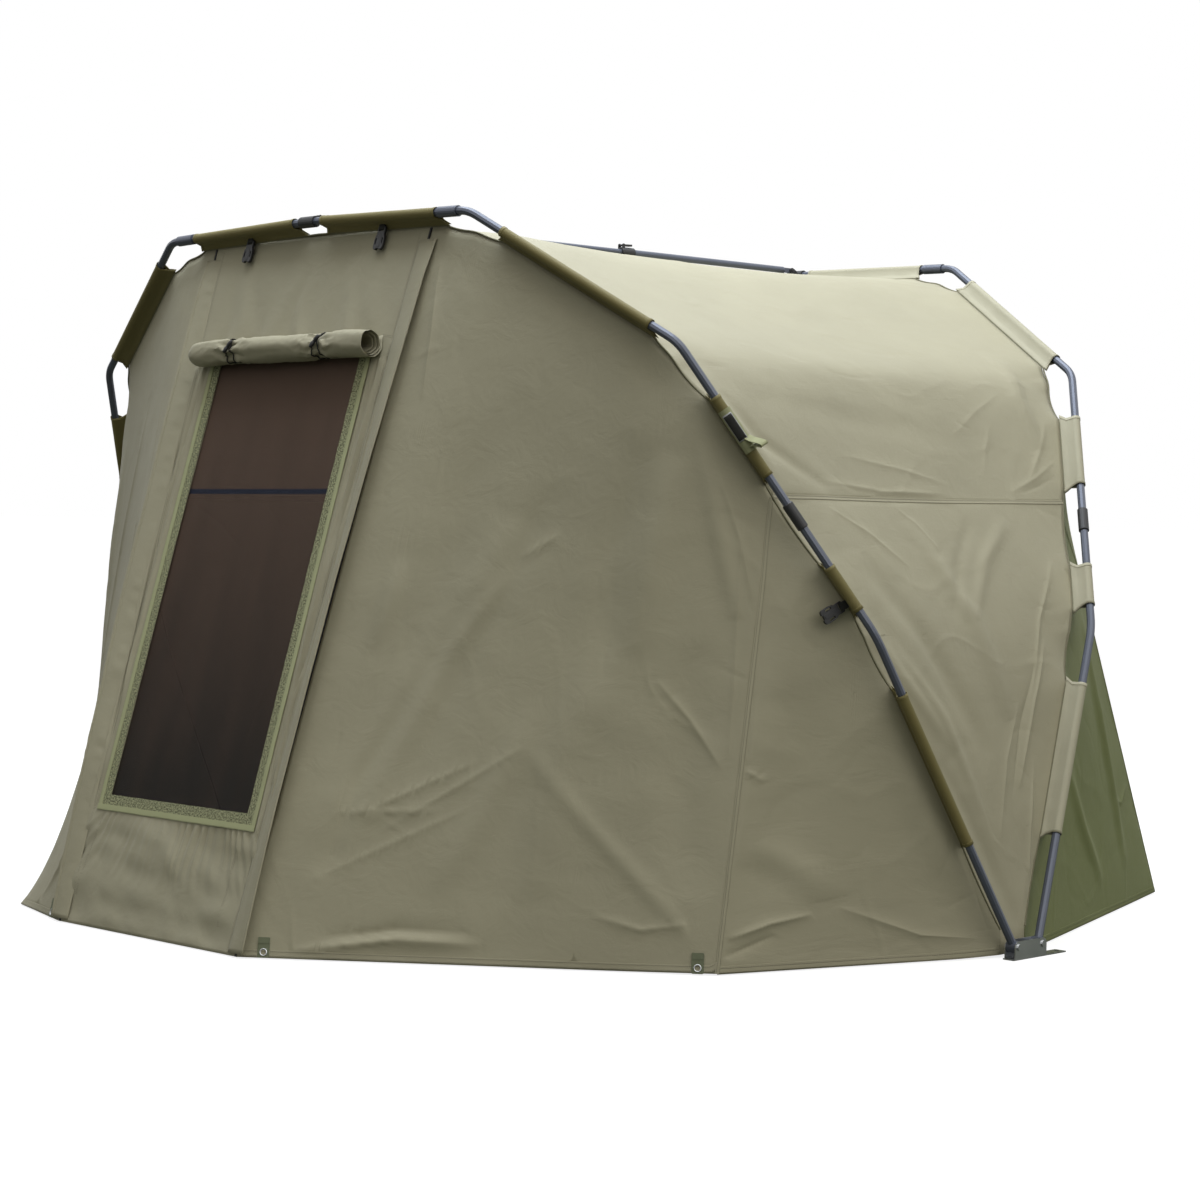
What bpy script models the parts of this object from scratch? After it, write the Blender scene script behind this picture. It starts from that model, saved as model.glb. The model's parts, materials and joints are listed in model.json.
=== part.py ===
"""A two-person bivvy tent: two folding ribs on ground hubs, a ridge bar, and a skin of sewn panels.

The tent faces -Y, its hub pins lie along X, and +Z is up. Lengths are in metres.
"""

import bpy
import bmesh
from math import atan2, cos, hypot, pi, radians, sin, sqrt, tan
from mathutils import Matrix, Vector

# Ground plan, measured from the line of the hub pins
HALF_WIDTH = 1.450
FRONT_REACH = 1.3135
REAR_REACH = 1.110
FRONT_PEG_SHARE = 0.8069
FRONT_PEG_X = HALF_WIDTH * FRONT_PEG_SHARE
FRONT_PEG_REACH = 0.693
REAR_PEG_SHARE = 0.7207
REAR_PEG_X = HALF_WIDTH * REAR_PEG_SHARE
HUB_Y = 0.1042

# Ribs: each lies in its own leaning plane, and rises are measured up that plane from the pin
RIB_LEAN = radians(27.0)
PIVOT_SPREAD = 0.044
PIVOT_HEIGHT = 0.028
KNEE_WIDTH_SHARE = 0.9207
SHOULDER_WIDTH_SHARE = 0.7207
ELBOW_WIDTH_SHARE = 0.3793
KNEE_X = HALF_WIDTH * KNEE_WIDTH_SHARE
KNEE_RISE = 0.767
SHOULDER_X = HALF_WIDTH * SHOULDER_WIDTH_SHARE
SHOULDER_RISE = 1.455
ELBOW_X = HALF_WIDTH * ELBOW_WIDTH_SHARE
ELBOW_RISE = 1.791
CROWN_HALF = 0.050
CROWN_RISE = 1.804
TUBE_RADIUS = 0.0095
BEND_RADIUS = 0.085
KNEE_BEND_RADIUS = 0.250
BEND_STEPS = 5

# Fits
MERGE_GAP = 0.00001
RUNNING_GAP = 0.0003
TUBE_END_GAP = 0.0015
OVERRUN = 0.004

# Push-together joints of the ribs
FERRULE_RADIUS = 0.0125
FERRULE_LENGTH = 0.062
FERRULE_CHAMFER = 0.0015
LEG_JOINT_SHARE = 0.592
ELBOW_JOINT_SET = 0.063
ELBOW_JOINT_X = ELBOW_X - ELBOW_JOINT_SET

# Leg knuckle, hub bracket and its pins
KNUCKLE_RADIUS = 0.0140
KNUCKLE_WIDTH = 0.0240
PIN_RADIUS = 0.0040
PIN_HEAD_RADIUS = 0.0075
PIN_HEAD_HEIGHT = 0.0030
BRACKET_PLATE = 0.0030
BRACKET_EAR = 0.0025
BRACKET_EAR_RADIUS = 0.0130
BRACKET_TAB_REACH = 0.130
BRACKET_FRONT_REACH = 0.062
PEG_HOLE_RADIUS = 0.0060

# Skin and the sleeves that hang it inside the ribs
FABRIC = 0.0020
SKIN_DROP = 0.036
SKIN_SET_BACK = 0.014
SKIN_CORNER_RADIUS = 0.080
SKIN_FOOT_RISE = 0.030
PIPING_RADIUS = 0.0022
SEAM_GAP = 0.0005
SEAM_INSET = 0.0011
PANEL_STEP = 0.140
PANEL_ROWS = 5
HEM_RISE = 0.0022
LOOSE_HEM_RISE = 0.0060
SLEEVE_WALL = 0.0016
SLEEVE_GAP = 0.0008
FLAP_THICKNESS = 0.0022
FLAP_SLANT = 0.016
SLEEVE_SIDES = 10
SLEEVE_NECK_ANGLE = radians(52.0)
TOP_SLEEVE_CLEAR = 0.009
SHOULDER_SLEEVE_SHARES = (0.165, 0.875)
UPPER_LEG_SLEEVE_SHARES = (0.185, 0.455)
MIDDLE_LEG_SLEEVE_SHARES = (0.765, 0.915)
LOWER_LEG_SLEEVE_SHARES = (0.185, 0.665)
SEAM_SHARE = 0.506
REAR_APEX_SHARE = 0.580
ROOF_SAG = 0.030
WALL_SAG = 0.020
CORNER_SAG = 0.012
REAR_SAG = 0.030
SAG_ROUND_SHARE = 0.7

# Left front corner of the skirt, pegged out wider than the right one
KICK_OUT = 0.108
KICK_HEIGHT = 0.300
KICK_PLACE_SHARE = 0.270

# Door between the two zips
DOOR_TOP_HALF = 0.395
DOOR_TAPER_SHARE = 0.843
DOOR_BOTTOM_HALF = DOOR_TOP_HALF * DOOR_TAPER_SHARE
DOOR_EDGE_GAP = 0.0013
DOOR_HINGE_DROP = 0.0068
DOOR_PEAK = 0.0045
ZIP_WIDTH = 0.0050
ZIP_THICKNESS = 0.0036
ZIP_GAP = 0.0008
SLIDER_LENGTH = 0.0140
SLIDER_THICKNESS = 0.0032
SLIDER_START = 0.030
PULL_LENGTH = 0.030
PULL_WIDTH = 0.0044
PULL_THICKNESS = 0.0018
STORM_FLAP_WIDTH = 0.046
STORM_FLAP_SEAM = 0.012
STORM_FLAP_LIFT = 0.0095
STORM_FLAP_TOP_GAP = 0.030
STORM_FLAP_FOOT_GAP = 0.006

# Window, its trim and the rolled cover above it
WINDOW_MARGIN = 0.073
WINDOW_HALF = DOOR_BOTTOM_HALF - WINDOW_MARGIN
WINDOW_SILL = 0.297
WINDOW_HEAD = 1.309
MESH_THICKNESS = 0.0010
MESH_LAP = 0.010
TRIM_WIDTH = 0.038
TRIM_THICKNESS = 0.0014
ROLL_HEIGHT = 1.328
ROLL_OVERHANG = 0.070
ROLL_HALF = WINDOW_HALF + ROLL_OVERHANG
ROLL_RADIUS = 0.0335
ROLL_CORE = 0.0095
ROLL_CLOTH = 0.0016
ROLL_TURNS = 4
ROLL_STEPS = 18
ROLL_TAIL = 0.034
TOGGLE_SHARE = 0.490
TOGGLE_X = ROLL_HALF * TOGGLE_SHARE
TOGGLE_BAND_WIDTH = 0.012
TOGGLE_BAND_THICKNESS = 0.0016
TOGGLE_LENGTH = 0.034
TOGGLE_RADIUS = 0.0058

# Hanging buckles
BUCKLE_LENGTH = 0.052
BUCKLE_END = 0.0034
BUCKLE_TOP_WIDTH = 0.025
BUCKLE_FOOT_WIDTH = 0.033
BUCKLE_THICKNESS = 0.0078
BUCKLE_EYE = 0.0068
BUCKLE_BAR_RADIUS = 0.0020
BUCKLE_OFFSET = 0.0118
BUCKLE_DROP = 0.0028
BUCKLE_WEB_WIDTH = 0.0180
BUCKLE_WEB_THICKNESS = 0.0016
BUCKLE_SHARE = 0.620
BUCKLE_X = DOOR_TOP_HALF * BUCKLE_SHARE
WEB_SEAM_SHARE = 0.32
LEG_BUCKLE_SHARE = 0.880
LEG_BUCKLE_OFFSET = 0.0080
LEG_WEB_REACH = 0.018

# Ridge bar
RIDGE_SET = 0.027
RIDGE_RISE = 0.012
RIDGE_PIN_RADIUS = 0.0030
RIDGE_OUTER_RADIUS = 0.0090
RIDGE_INNER_RADIUS = 0.0072
RIDGE_JOINT_SHARE = 0.608
RIDGE_OVERLAP = 0.150
RIDGE_TRAVEL = 0.350
RIDGE_END_CLEAR = 0.020
TONGUE_THICKNESS = 0.0070
TONGUE_LENGTH = 0.032
TONGUE_HALF_HEIGHT = 0.0065
HOOK_PLUG_LENGTH = 0.026
CENTRE_JOINT_RADIUS = 0.0135
CENTRE_JOINT_HALF = 0.026
EAR_THICKNESS = 0.0040
EAR_RADIUS = 0.0075
EAR_HEAD_HEIGHT = 0.0020
CRADLE_TILT = radians(32.0)
CRADLE_FLARE = radians(18.0)
CRADLE_DEPTH = 0.022
COLLAR_RADIUS = 0.0130
COLLAR_LENGTH = 0.046
COLLAR_LIP = 0.014
LUG_THICKNESS = 0.0030
LUG_RISE = 0.0175
LUG_RADIUS = 0.0042
LUG_ROOT_SHARE = 0.660
LEVER_LENGTH = 0.034
LEVER_WIDTH = 0.0110
LEVER_THICKNESS = 0.0050
LEVER_PIN_RADIUS = 0.0018

# Peg tabs on the hem, and the tie strap on the front right leg
TAB_WIDTH = 0.026
TAB_HEIGHT = 0.044
TAB_THICKNESS = 0.0020
TAB_GAP = 0.0008
TAB_EYE_RADIUS = 0.0060
TAB_EYE_RISE = 0.012
TAB_INSET = 0.040
STRAP_SHARE = 0.300
STRAP_LENGTH = 0.105
STRAP_WALL = 0.0018
STRAP_TAIL = 0.034

ROUND_SIDES = 20
PIN_SIDES = 12
FRONT = -1
REAR = 1
LEFT = -1
RIGHT = 1
SIDE_NAMES = {LEFT: "left", RIGHT: "right"}
END_NAMES = {FRONT: "front", REAR: "rear"}

COLOURS = {
    "canvas": ((0.235, 0.222, 0.145), 0.80, 0.0),
    "rear_canvas": ((0.150, 0.165, 0.075), 0.80, 0.0),
    "sleeve": ((0.205, 0.190, 0.115), 0.85, 0.0),
    "tube": ((0.085, 0.095, 0.120), 0.38, 0.6),
    "moulding": ((0.018, 0.018, 0.022), 0.45, 0.0),
    "steel": ((0.420, 0.430, 0.440), 0.35, 1.0),
    "mesh": ((0.030, 0.026, 0.022), 0.90, 0.0),
    "webbing": ((0.300, 0.330, 0.170), 0.90, 0.0),
}


def clear_scene():
    for thing in list(bpy.data.objects):
        bpy.data.objects.remove(thing, do_unlink=True)


def material(name):
    """One Principled material for each finish, made on first use."""
    found = bpy.data.materials.get(name)
    if found:
        return found
    colour, roughness, metallic = COLOURS[name]
    made = bpy.data.materials.new(name)
    made.use_nodes = True
    shader = made.node_tree.nodes["Principled BSDF"]
    shader.inputs["Base Color"].default_value = (*colour, 1.0)
    shader.inputs["Roughness"].default_value = roughness
    shader.inputs["Metallic"].default_value = metallic
    made.diffuse_color = (*colour, 1.0)
    return made


def empty(name, place):
    pivot = bpy.data.objects.new(name, None)
    pivot.location = place
    bpy.context.collection.objects.link(pivot)
    return pivot


def finished(name, bm, finish, parent=None, place=None, smooth=True):
    """A named object from a bmesh, its faces turned outwards."""
    bmesh.ops.remove_doubles(bm, verts=bm.verts, dist=MERGE_GAP)
    bmesh.ops.recalc_face_normals(bm, faces=bm.faces)
    mesh = bpy.data.meshes.new(name)
    bm.to_mesh(mesh)
    bm.free()
    mesh.materials.append(material(finish))
    if smooth:
        mesh.shade_smooth()
        mesh.set_sharp_from_angle(angle=radians(35.0))
    thing = bpy.data.objects.new(name, mesh)
    if place:
        thing.matrix_world = place
    bpy.context.collection.objects.link(thing)
    if parent:
        thing.parent = parent
        thing.matrix_parent_inverse = Matrix.Translation(parent.location).inverted()
    return thing


def settle(thing):
    """Applies an object's modifiers and placing, so that another cut can follow."""
    bpy.context.view_layer.update()
    seen = thing.evaluated_get(bpy.context.evaluated_depsgraph_get())
    mesh = bpy.data.meshes.new_from_object(seen)
    thing.modifiers.clear()
    thing.data = mesh
    return thing


def boolean(thing, tool, operation):
    step = thing.modifiers.new(operation.lower(), "BOOLEAN")
    step.operation = operation
    step.solver = "EXACT"
    step.object = tool
    settle(thing)
    bpy.data.objects.remove(tool, do_unlink=True)
    return thing


def joined(thing, *others):
    for other in others:
        boolean(thing, other, "UNION")
    return thing


def cut(thing, *tools):
    for tool in tools:
        boolean(thing, tool, "DIFFERENCE")
    return thing


def frame_at(place, along, up):
    """A matrix whose Z runs along one direction and whose X lies as near as it can to another."""
    z = Vector(along).normalized()
    x = Vector(up)
    x = (x - z * x.dot(z)).normalized()
    y = z.cross(x)
    turn = Matrix((x, y, z)).transposed().to_4x4()
    return Matrix.Translation(place) @ turn


def cylinder(name, start, end, radius, finish, parent=None, sides=ROUND_SIDES):
    start = Vector(start)
    end = Vector(end)
    bm = bmesh.new()
    length = (end - start).length
    bmesh.ops.create_cone(
        bm,
        cap_ends=True,
        segments=sides,
        radius1=radius,
        radius2=radius,
        depth=length,
    )
    side = Vector((0, 0, 1)) if abs((end - start).normalized().z) < 0.9 else Vector((0, 1, 0))
    return finished(name, bm, finish, parent, frame_at((start + end) / 2, end - start, side))


def turned(name, profile, place, finish, parent=None, sides=ROUND_SIDES):
    """A closed profile of (radius, height) points spun about the Z axis of a placing."""
    bm = bmesh.new()
    ring = [bm.verts.new((radius, 0, height)) for radius, height in profile]
    edges = [bm.edges.new((ring[i], ring[(i + 1) % len(ring)])) for i in range(len(ring))]
    bmesh.ops.spin(
        bm,
        geom=ring + edges,
        axis=(0, 0, 1),
        cent=(0, 0, 0),
        dvec=(0, 0, 0),
        angle=2 * pi,
        steps=sides,
        use_merge=True,
    )
    return finished(name, bm, finish, parent, place)


def prism(name, outline, depth, place, finish, parent=None, holes=(), shift=None):
    """An outline of (x, y) points, with holes, extruded along the Z axis of a placing."""
    bm = bmesh.new()
    edges = []
    for loop in (outline, *holes):
        verts = [bm.verts.new((x, y, 0)) for x, y in loop]
        edges += [bm.edges.new((verts[i], verts[(i + 1) % len(verts)])) for i in range(len(verts))]
    bmesh.ops.triangle_fill(bm, use_beauty=True, use_dissolve=False, edges=edges)
    lower = list(bm.faces)
    grown = bmesh.ops.extrude_face_region(bm, geom=lower, use_keep_orig=True)
    upper = [item for item in grown["geom"] if isinstance(item, bmesh.types.BMVert)]
    bmesh.ops.translate(bm, verts=upper, vec=(0, 0, depth))
    if shift:
        shift(bm)
    return finished(name, bm, finish, parent, place)


def circle(radius, sides=ROUND_SIDES, centre=(0, 0), start=0.0, sweep=2 * pi):
    """Points on a circle, or on a stretch of one with both of its ends."""
    whole = abs(sweep - 2 * pi) < radians(0.1)
    steps = sides if whole else sides + 1
    turn = [start + sweep * i / sides for i in range(steps)]
    return [(centre[0] + radius * cos(a), centre[1] + radius * sin(a)) for a in turn]


def box_outline(half_x, half_y, centre=(0, 0)):
    x, y = centre
    return [
        (x - half_x, y - half_y),
        (x + half_x, y - half_y),
        (x + half_x, y + half_y),
        (x - half_x, y + half_y),
    ]


def rounded(points, radii):
    """A path with an arc of the given radius at each inner corner."""
    path = [Vector(points[0])]
    for i in range(1, len(points) - 1):
        corner = Vector(points[i])
        into = (corner - Vector(points[i - 1])).normalized()
        out = (Vector(points[i + 1]) - corner).normalized()
        turn = into.angle(out)
        if turn < radians(0.5):
            path.append(corner)
            continue
        reach = radii[i - 1] * tan(turn / 2)
        start = corner - into * reach
        finish = corner + out * reach
        inward = (out - into).normalized()
        centre = corner + inward * (radii[i - 1] / cos(turn / 2))
        for k in range(BEND_STEPS + 1):
            share = k / BEND_STEPS
            spoke = (start - centre) * sin((1 - share) * turn) + (finish - centre) * sin(share * turn)
            path.append(centre + spoke / sin(turn))
    path.append(Vector(points[-1]))
    return path


def rod(name, points, radius, finish, parent=None, resolution=3):
    """A round bar along a path, as a bevelled curve made into a mesh."""
    curve = bpy.data.curves.new(name, "CURVE")
    curve.dimensions = "3D"
    curve.bevel_depth = radius
    curve.bevel_resolution = resolution
    curve.use_fill_caps = True
    spline = curve.splines.new("POLY")
    spline.points.add(len(points) - 1)
    for spot, place in zip(spline.points, points):
        spot.co = (*place, 1.0)
    guide = bpy.data.objects.new(name, curve)
    bpy.context.collection.objects.link(guide)
    bpy.context.view_layer.update()
    mesh = bpy.data.meshes.new_from_object(guide.evaluated_get(bpy.context.evaluated_depsgraph_get()))
    bpy.data.objects.remove(guide, do_unlink=True)
    bm = bmesh.new()
    bm.from_mesh(mesh)
    return finished(name, bm, finish, parent)


def rib_axes(end):
    """The pin's middle, the way up the rib's plane, and the way from it towards the tent's middle."""
    base = Vector((0, HUB_Y + end * PIVOT_SPREAD, PIVOT_HEIGHT))
    up = Vector((0, end * sin(RIB_LEAN), cos(RIB_LEAN)))
    middle = Vector((0, -end * cos(RIB_LEAN), sin(RIB_LEAN)))
    return base, up, middle


def on_rib(end, x, rise, set_back=0.0):
    base, up, middle = rib_axes(end)
    return base + Vector((x, 0, 0)) + up * rise + middle * set_back


def between(a, b, share):
    return Vector(a) + (Vector(b) - Vector(a)) * share


CROWN = (CROWN_HALF, CROWN_RISE)
ELBOW = (ELBOW_X, ELBOW_RISE)
SHOULDER = (SHOULDER_X, SHOULDER_RISE)
KNEE = (KNEE_X, KNEE_RISE)
FOOT = (HALF_WIDTH, 0.0)
LEG_JOINT = between(SHOULDER, KNEE, LEG_JOINT_SHARE)
ELBOW_JOINT = between(CROWN, ELBOW, (ELBOW_JOINT_X - CROWN_HALF) / (ELBOW_X - CROWN_HALF))


def along_rib(end, hand, path):
    return [on_rib(end, hand * x, rise) for x, rise in path]


def step_from(point, towards, distance):
    point = Vector(point)
    return point + (Vector(towards) - point).normalized() * distance


def socket_cut(name, mouth, inner, reach):
    """A tool that bores a tube's seat, from outside the mouth to a point inside."""
    start = step_from(mouth, inner, -OVERRUN)
    return cylinder(name, start, step_from(mouth, inner, reach), TUBE_RADIUS + RUNNING_GAP, "tube")


def rib_tubes(end, parent):
    """Top bar with its two end sockets, and on each side the shoulder tube, ferrule and leg."""
    name = END_NAMES[end]
    bar_path = [(-ELBOW_JOINT.x, ELBOW_JOINT.y), (-CROWN_HALF, CROWN_RISE), CROWN, tuple(ELBOW_JOINT)]
    bar = rod(f"{name}_top_bar", [on_rib(end, x, rise) for x, rise in bar_path], TUBE_RADIUS, "tube", parent)
    for hand in (LEFT, RIGHT):
        joint = on_rib(end, hand * ELBOW_JOINT.x, ELBOW_JOINT.y)
        crown = on_rib(end, hand * CROWN_HALF, CROWN_RISE)
        mouth = step_from(joint, crown, -FERRULE_LENGTH / 2)
        root = step_from(joint, crown, FERRULE_LENGTH / 2)
        joined(bar, cylinder("socket", root, mouth, FERRULE_RADIUS, "moulding"))
        cut(bar, socket_cut("bore", mouth, joint, FERRULE_LENGTH / 2))
    for hand in (LEFT, RIGHT):
        side = SIDE_NAMES[hand]
        elbow_end = step_from(ELBOW_JOINT, ELBOW, TUBE_END_GAP)
        joint_above = step_from(LEG_JOINT, SHOULDER, TUBE_END_GAP)
        joint_below = step_from(LEG_JOINT, KNEE, TUBE_END_GAP)
        shoulder = rounded([elbow_end, ELBOW, SHOULDER, joint_above], [BEND_RADIUS, BEND_RADIUS])
        leg = rounded([joint_below, KNEE, FOOT], [KNEE_BEND_RADIUS])
        rod(f"{name}_shoulder_{side}", along_rib(end, hand, shoulder), TUBE_RADIUS, "tube", parent)
        tube = rod(f"{name}_leg_{side}", along_rib(end, hand, leg), TUBE_RADIUS, "tube", parent)
        knuckle(tube, on_rib(end, hand * HALF_WIDTH, 0.0))
        ferrule(f"{name}_ferrule_{side}", end, hand, parent)


def knuckle(tube, pin):
    """The round eye at a leg's foot, bored to turn on the hub pin."""
    reach = Vector((KNUCKLE_WIDTH / 2, 0, 0))
    joined(tube, cylinder("eye", pin - reach, pin + reach, KNUCKLE_RADIUS, "moulding"))
    past = Vector((KNUCKLE_WIDTH / 2 + OVERRUN, 0, 0))
    cut(tube, cylinder("eye_bore", pin - past, pin + past, PIN_RADIUS + RUNNING_GAP, "moulding"))


def ferrule(name, end, hand, parent):
    """A turned sleeve over the joint between a shoulder tube and a leg."""
    joint = on_rib(end, hand * LEG_JOINT.x, LEG_JOINT.y)
    knee = on_rib(end, hand * KNEE_X, KNEE_RISE)
    bore = TUBE_RADIUS + RUNNING_GAP
    half = FERRULE_LENGTH / 2
    profile = [
        (bore, -half),
        (FERRULE_RADIUS - FERRULE_CHAMFER, -half),
        (FERRULE_RADIUS, FERRULE_CHAMFER - half),
        (FERRULE_RADIUS, half - FERRULE_CHAMFER),
        (FERRULE_RADIUS - FERRULE_CHAMFER, half),
        (bore, half),
    ]
    _, _, middle = rib_axes(end)
    turned(name, profile, frame_at(joint, knee - joint, middle), "moulding", parent)


def hub_bracket(hand):
    """A folded steel channel on the ground, its two pins, and a tab with a peg hole at the rear."""
    x = hand * HALF_WIDTH
    inner = KNUCKLE_WIDTH / 2 + RUNNING_GAP
    outer = inner + BRACKET_EAR
    length = BRACKET_FRONT_REACH + BRACKET_TAB_REACH
    middle_y = HUB_Y + (BRACKET_TAB_REACH - BRACKET_FRONT_REACH) / 2
    place = Matrix.Translation((x, middle_y, 0))
    plate_outline = box_outline(outer, length / 2)
    hole_y = length / 2 - outer
    hole = circle(PEG_HOLE_RADIUS, PIN_SIDES, centre=(0, hole_y))
    bracket = prism(
        f"hub_bracket_{SIDE_NAMES[hand]}", plate_outline, BRACKET_PLATE, place, "steel", holes=[hole]
    )
    settle(bracket)
    ear_outline = []
    for end in (REAR, FRONT):
        start = 0.0 if end == REAR else pi / 2
        arc = circle(
            BRACKET_EAR_RADIUS,
            ROUND_SIDES // 4,
            centre=(HUB_Y + end * PIVOT_SPREAD, PIVOT_HEIGHT),
            start=start,
            sweep=pi / 2,
        )
        ear_outline += arc
    front_foot = HUB_Y - PIVOT_SPREAD - BRACKET_EAR_RADIUS
    rear_foot = HUB_Y + PIVOT_SPREAD + BRACKET_EAR_RADIUS
    ear_outline += [(front_foot, BRACKET_PLATE / 2), (rear_foot, BRACKET_PLATE / 2)]
    turn = Matrix(((0, 0, 1, 0), (1, 0, 0, 0), (0, 1, 0, 0), (0, 0, 0, 1)))
    for edge in (-outer, inner):
        ear = prism("ear", ear_outline, BRACKET_EAR, Matrix.Translation((x + edge, 0, 0)) @ turn, "steel")
        joined(bracket, ear)
    for end in (FRONT, REAR):
        centre = Vector((x, HUB_Y + end * PIVOT_SPREAD, PIVOT_HEIGHT))
        reach = Vector((outer + PIN_HEAD_HEIGHT, 0, 0))
        pin = cylinder("pin", centre - reach, centre + reach, PIN_RADIUS, "steel", sides=PIN_SIDES)
        joined(bracket, pin)
        for way in (-1, 1):
            seat = centre + Vector((way * (outer - RUNNING_GAP), 0, 0))
            head = cylinder("head", seat, centre + way * reach, PIN_HEAD_RADIUS, "steel", sides=PIN_SIDES)
            joined(bracket, head)
    return bracket


def skin_corner(a, corner, b):
    """Where the skin's edge turns, inside a corner of the rib."""
    into = (Vector(corner) - Vector(a)).normalized()
    out = (Vector(b) - Vector(corner)).normalized()
    along = (into + out).normalized()
    inward = Vector((along.y, -along.x))
    return Vector(corner) + inward * (SKIN_DROP / cos(into.angle(out) / 2))


def skin_path():
    """The right half of the skin's edge from the crown to the ground, and the places of its marks."""
    elbow = skin_corner(CROWN, ELBOW, SHOULDER)
    shoulder = skin_corner(ELBOW, SHOULDER, KNEE)
    knee = skin_corner(SHOULDER, KNEE, FOOT)
    foot = Vector((HALF_WIDTH - SKIN_DROP, SKIN_FOOT_RISE))
    top = Vector((0, CROWN_RISE - SKIN_DROP))
    corners = [top, elbow, shoulder, knee, foot]
    path = rounded(corners, [SKIN_CORNER_RADIUS, SKIN_CORNER_RADIUS, SKIN_CORNER_RADIUS])
    marks = {
        "door": between(top, elbow, DOOR_TOP_HALF / elbow.x),
        "wall": between(top, elbow, (DOOR_TOP_HALF + ZIP_WIDTH + ZIP_GAP * 2) / elbow.x),
        "seam": between(shoulder, knee, SEAM_SHARE),
        "apex": between(shoulder, knee, REAR_APEX_SHARE),
    }
    reaches = [0.0]
    for i in range(1, len(path)):
        reaches.append(reaches[-1] + (path[i] - path[i - 1]).length)

    def reach_of(spot):
        for i in range(1, len(path)):
            leg = path[i] - path[i - 1]
            along = (spot - path[i - 1]).dot(leg) / leg.length
            aside = ((spot - path[i - 1]) - leg.normalized() * along).length
            if -RUNNING_GAP < along < leg.length + RUNNING_GAP and aside < RUNNING_GAP:
                return reaches[i - 1] + along
        raise ValueError("a mark lies off the skin's edge")

    def spot_at(reach):
        for i in range(1, len(path)):
            if reach <= reaches[i]:
                share = (reach - reaches[i - 1]) / (reaches[i] - reaches[i - 1])
                return between(path[i - 1], path[i], share)
        return path[-1]

    stops = sorted(set(reaches) | {reach_of(spot) for spot in marks.values()})
    full = []
    for start, finish in zip(stops, stops[1:]):
        steps = max(1, round((finish - start) / PANEL_STEP))
        full += [start + (finish - start) * k / steps for k in range(steps)]
    full.append(stops[-1])
    places = {}
    for name, spot in marks.items():
        reach = reach_of(spot)
        places[name] = min(range(len(full)), key=lambda i: abs(full[i] - reach))
    return [spot_at(reach) for reach in full], places


SKIN, MARKS = skin_path()


def skin_point(end, hand, index, inward=0.0):
    """A point of the skin's edge, or one set in from it towards the middle of the tent's width."""
    x, rise = SKIN[index]
    here = on_rib(end, hand * x, rise, SKIN_SET_BACK)
    if not inward:
        return here
    before = SKIN[max(index - 1, 0)]
    after = SKIN[min(index + 1, len(SKIN) - 1)]
    run = (after - before).normalized()
    normal = Vector((run.y, -run.x))
    return on_rib(end, hand * (x + normal.x * inward), rise + normal.y * inward, SKIN_SET_BACK)


def cloth(name, grid, finish, parent=None):
    """A sheet of sewn canvas from rows of points, with its thickness on both sides of them."""
    bm = bmesh.new()
    verts = [[bm.verts.new(point) for point in row] for row in grid]
    for upper, lower in zip(verts, verts[1:]):
        for j in range(len(upper) - 1):
            bm.faces.new((upper[j], upper[j + 1], lower[j + 1]))
            bm.faces.new((upper[j], lower[j + 1], lower[j]))
    sheet = finished(name, bm, finish, parent)
    thick = sheet.modifiers.new("canvas", "SOLIDIFY")
    thick.thickness = FABRIC
    thick.offset = 0.0
    thick.use_even_offset = True
    return sheet


HEART = Vector((0, HUB_Y, KNEE_RISE))


def sagged(grid, depth, heart=HEART):
    """Pulls the middle of a taut panel towards the inside of the tent."""
    rows = len(grid) - 1
    columns = len(grid[0]) - 1
    for i, row in enumerate(grid):
        down = 4 * (i / rows) * (1 - i / rows)
        for j, point in enumerate(row):
            across = 4 * (j / columns) * (1 - j / columns)
            pull = depth * down * across**SAG_ROUND_SHARE
            row[j] = point + (heart - point).normalized() * pull
    return grid


def ruled(uppers, lowers, rows=PANEL_ROWS):
    """Straight lines between two edges."""
    return [[between(a, b, i / rows) for a, b in zip(uppers, lowers)] for i in range(rows + 1)]


def drawn_in(border, inner, inset):
    """A border's points moved towards the row inside it, to lie an inset away from the border's line."""
    moved = []
    last = len(border) - 1
    for i, (point, aim) in enumerate(zip(border, inner)):
        line = border[min(i + 1, last)] - border[max(i - 1, 0)]
        slant = sin(line.angle(aim - point))
        moved.append(step_from(point, aim, inset / slant))
    return moved


def trimmed(grid, top=0.0, foot=0.0, head=0.0, tail=0.0):
    """Draws a panel's borders in, so that it keeps clear of the piping and of the panels beside it."""
    if top:
        grid[0] = drawn_in(grid[0], grid[1], top)
    if foot:
        grid[-1] = drawn_in(grid[-1], grid[-2], foot)
    for first, second, inset in ((0, 1, head), (-1, -2, tail)):
        if inset:
            border = drawn_in([row[first] for row in grid], [row[second] for row in grid], inset)
            for row, point in zip(grid, border):
                row[first] = point
    return grid


def spaced(start, end, uppers):
    """Points on a straight hem, spread as the points of the edge above it."""
    reaches = [0.0]
    for a, b in zip(uppers, uppers[1:]):
        reaches.append(reaches[-1] + (b - a).length)
    return [between(start, end, reach / reaches[-1]) for reach in reaches]


EDGE_INSET = PIPING_RADIUS + SEAM_GAP


def hem_below(point, rise=None):
    """The place on the hem straight below a point."""
    return Vector((point.x, point.y, HEM_RISE if rise is None else rise))


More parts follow.
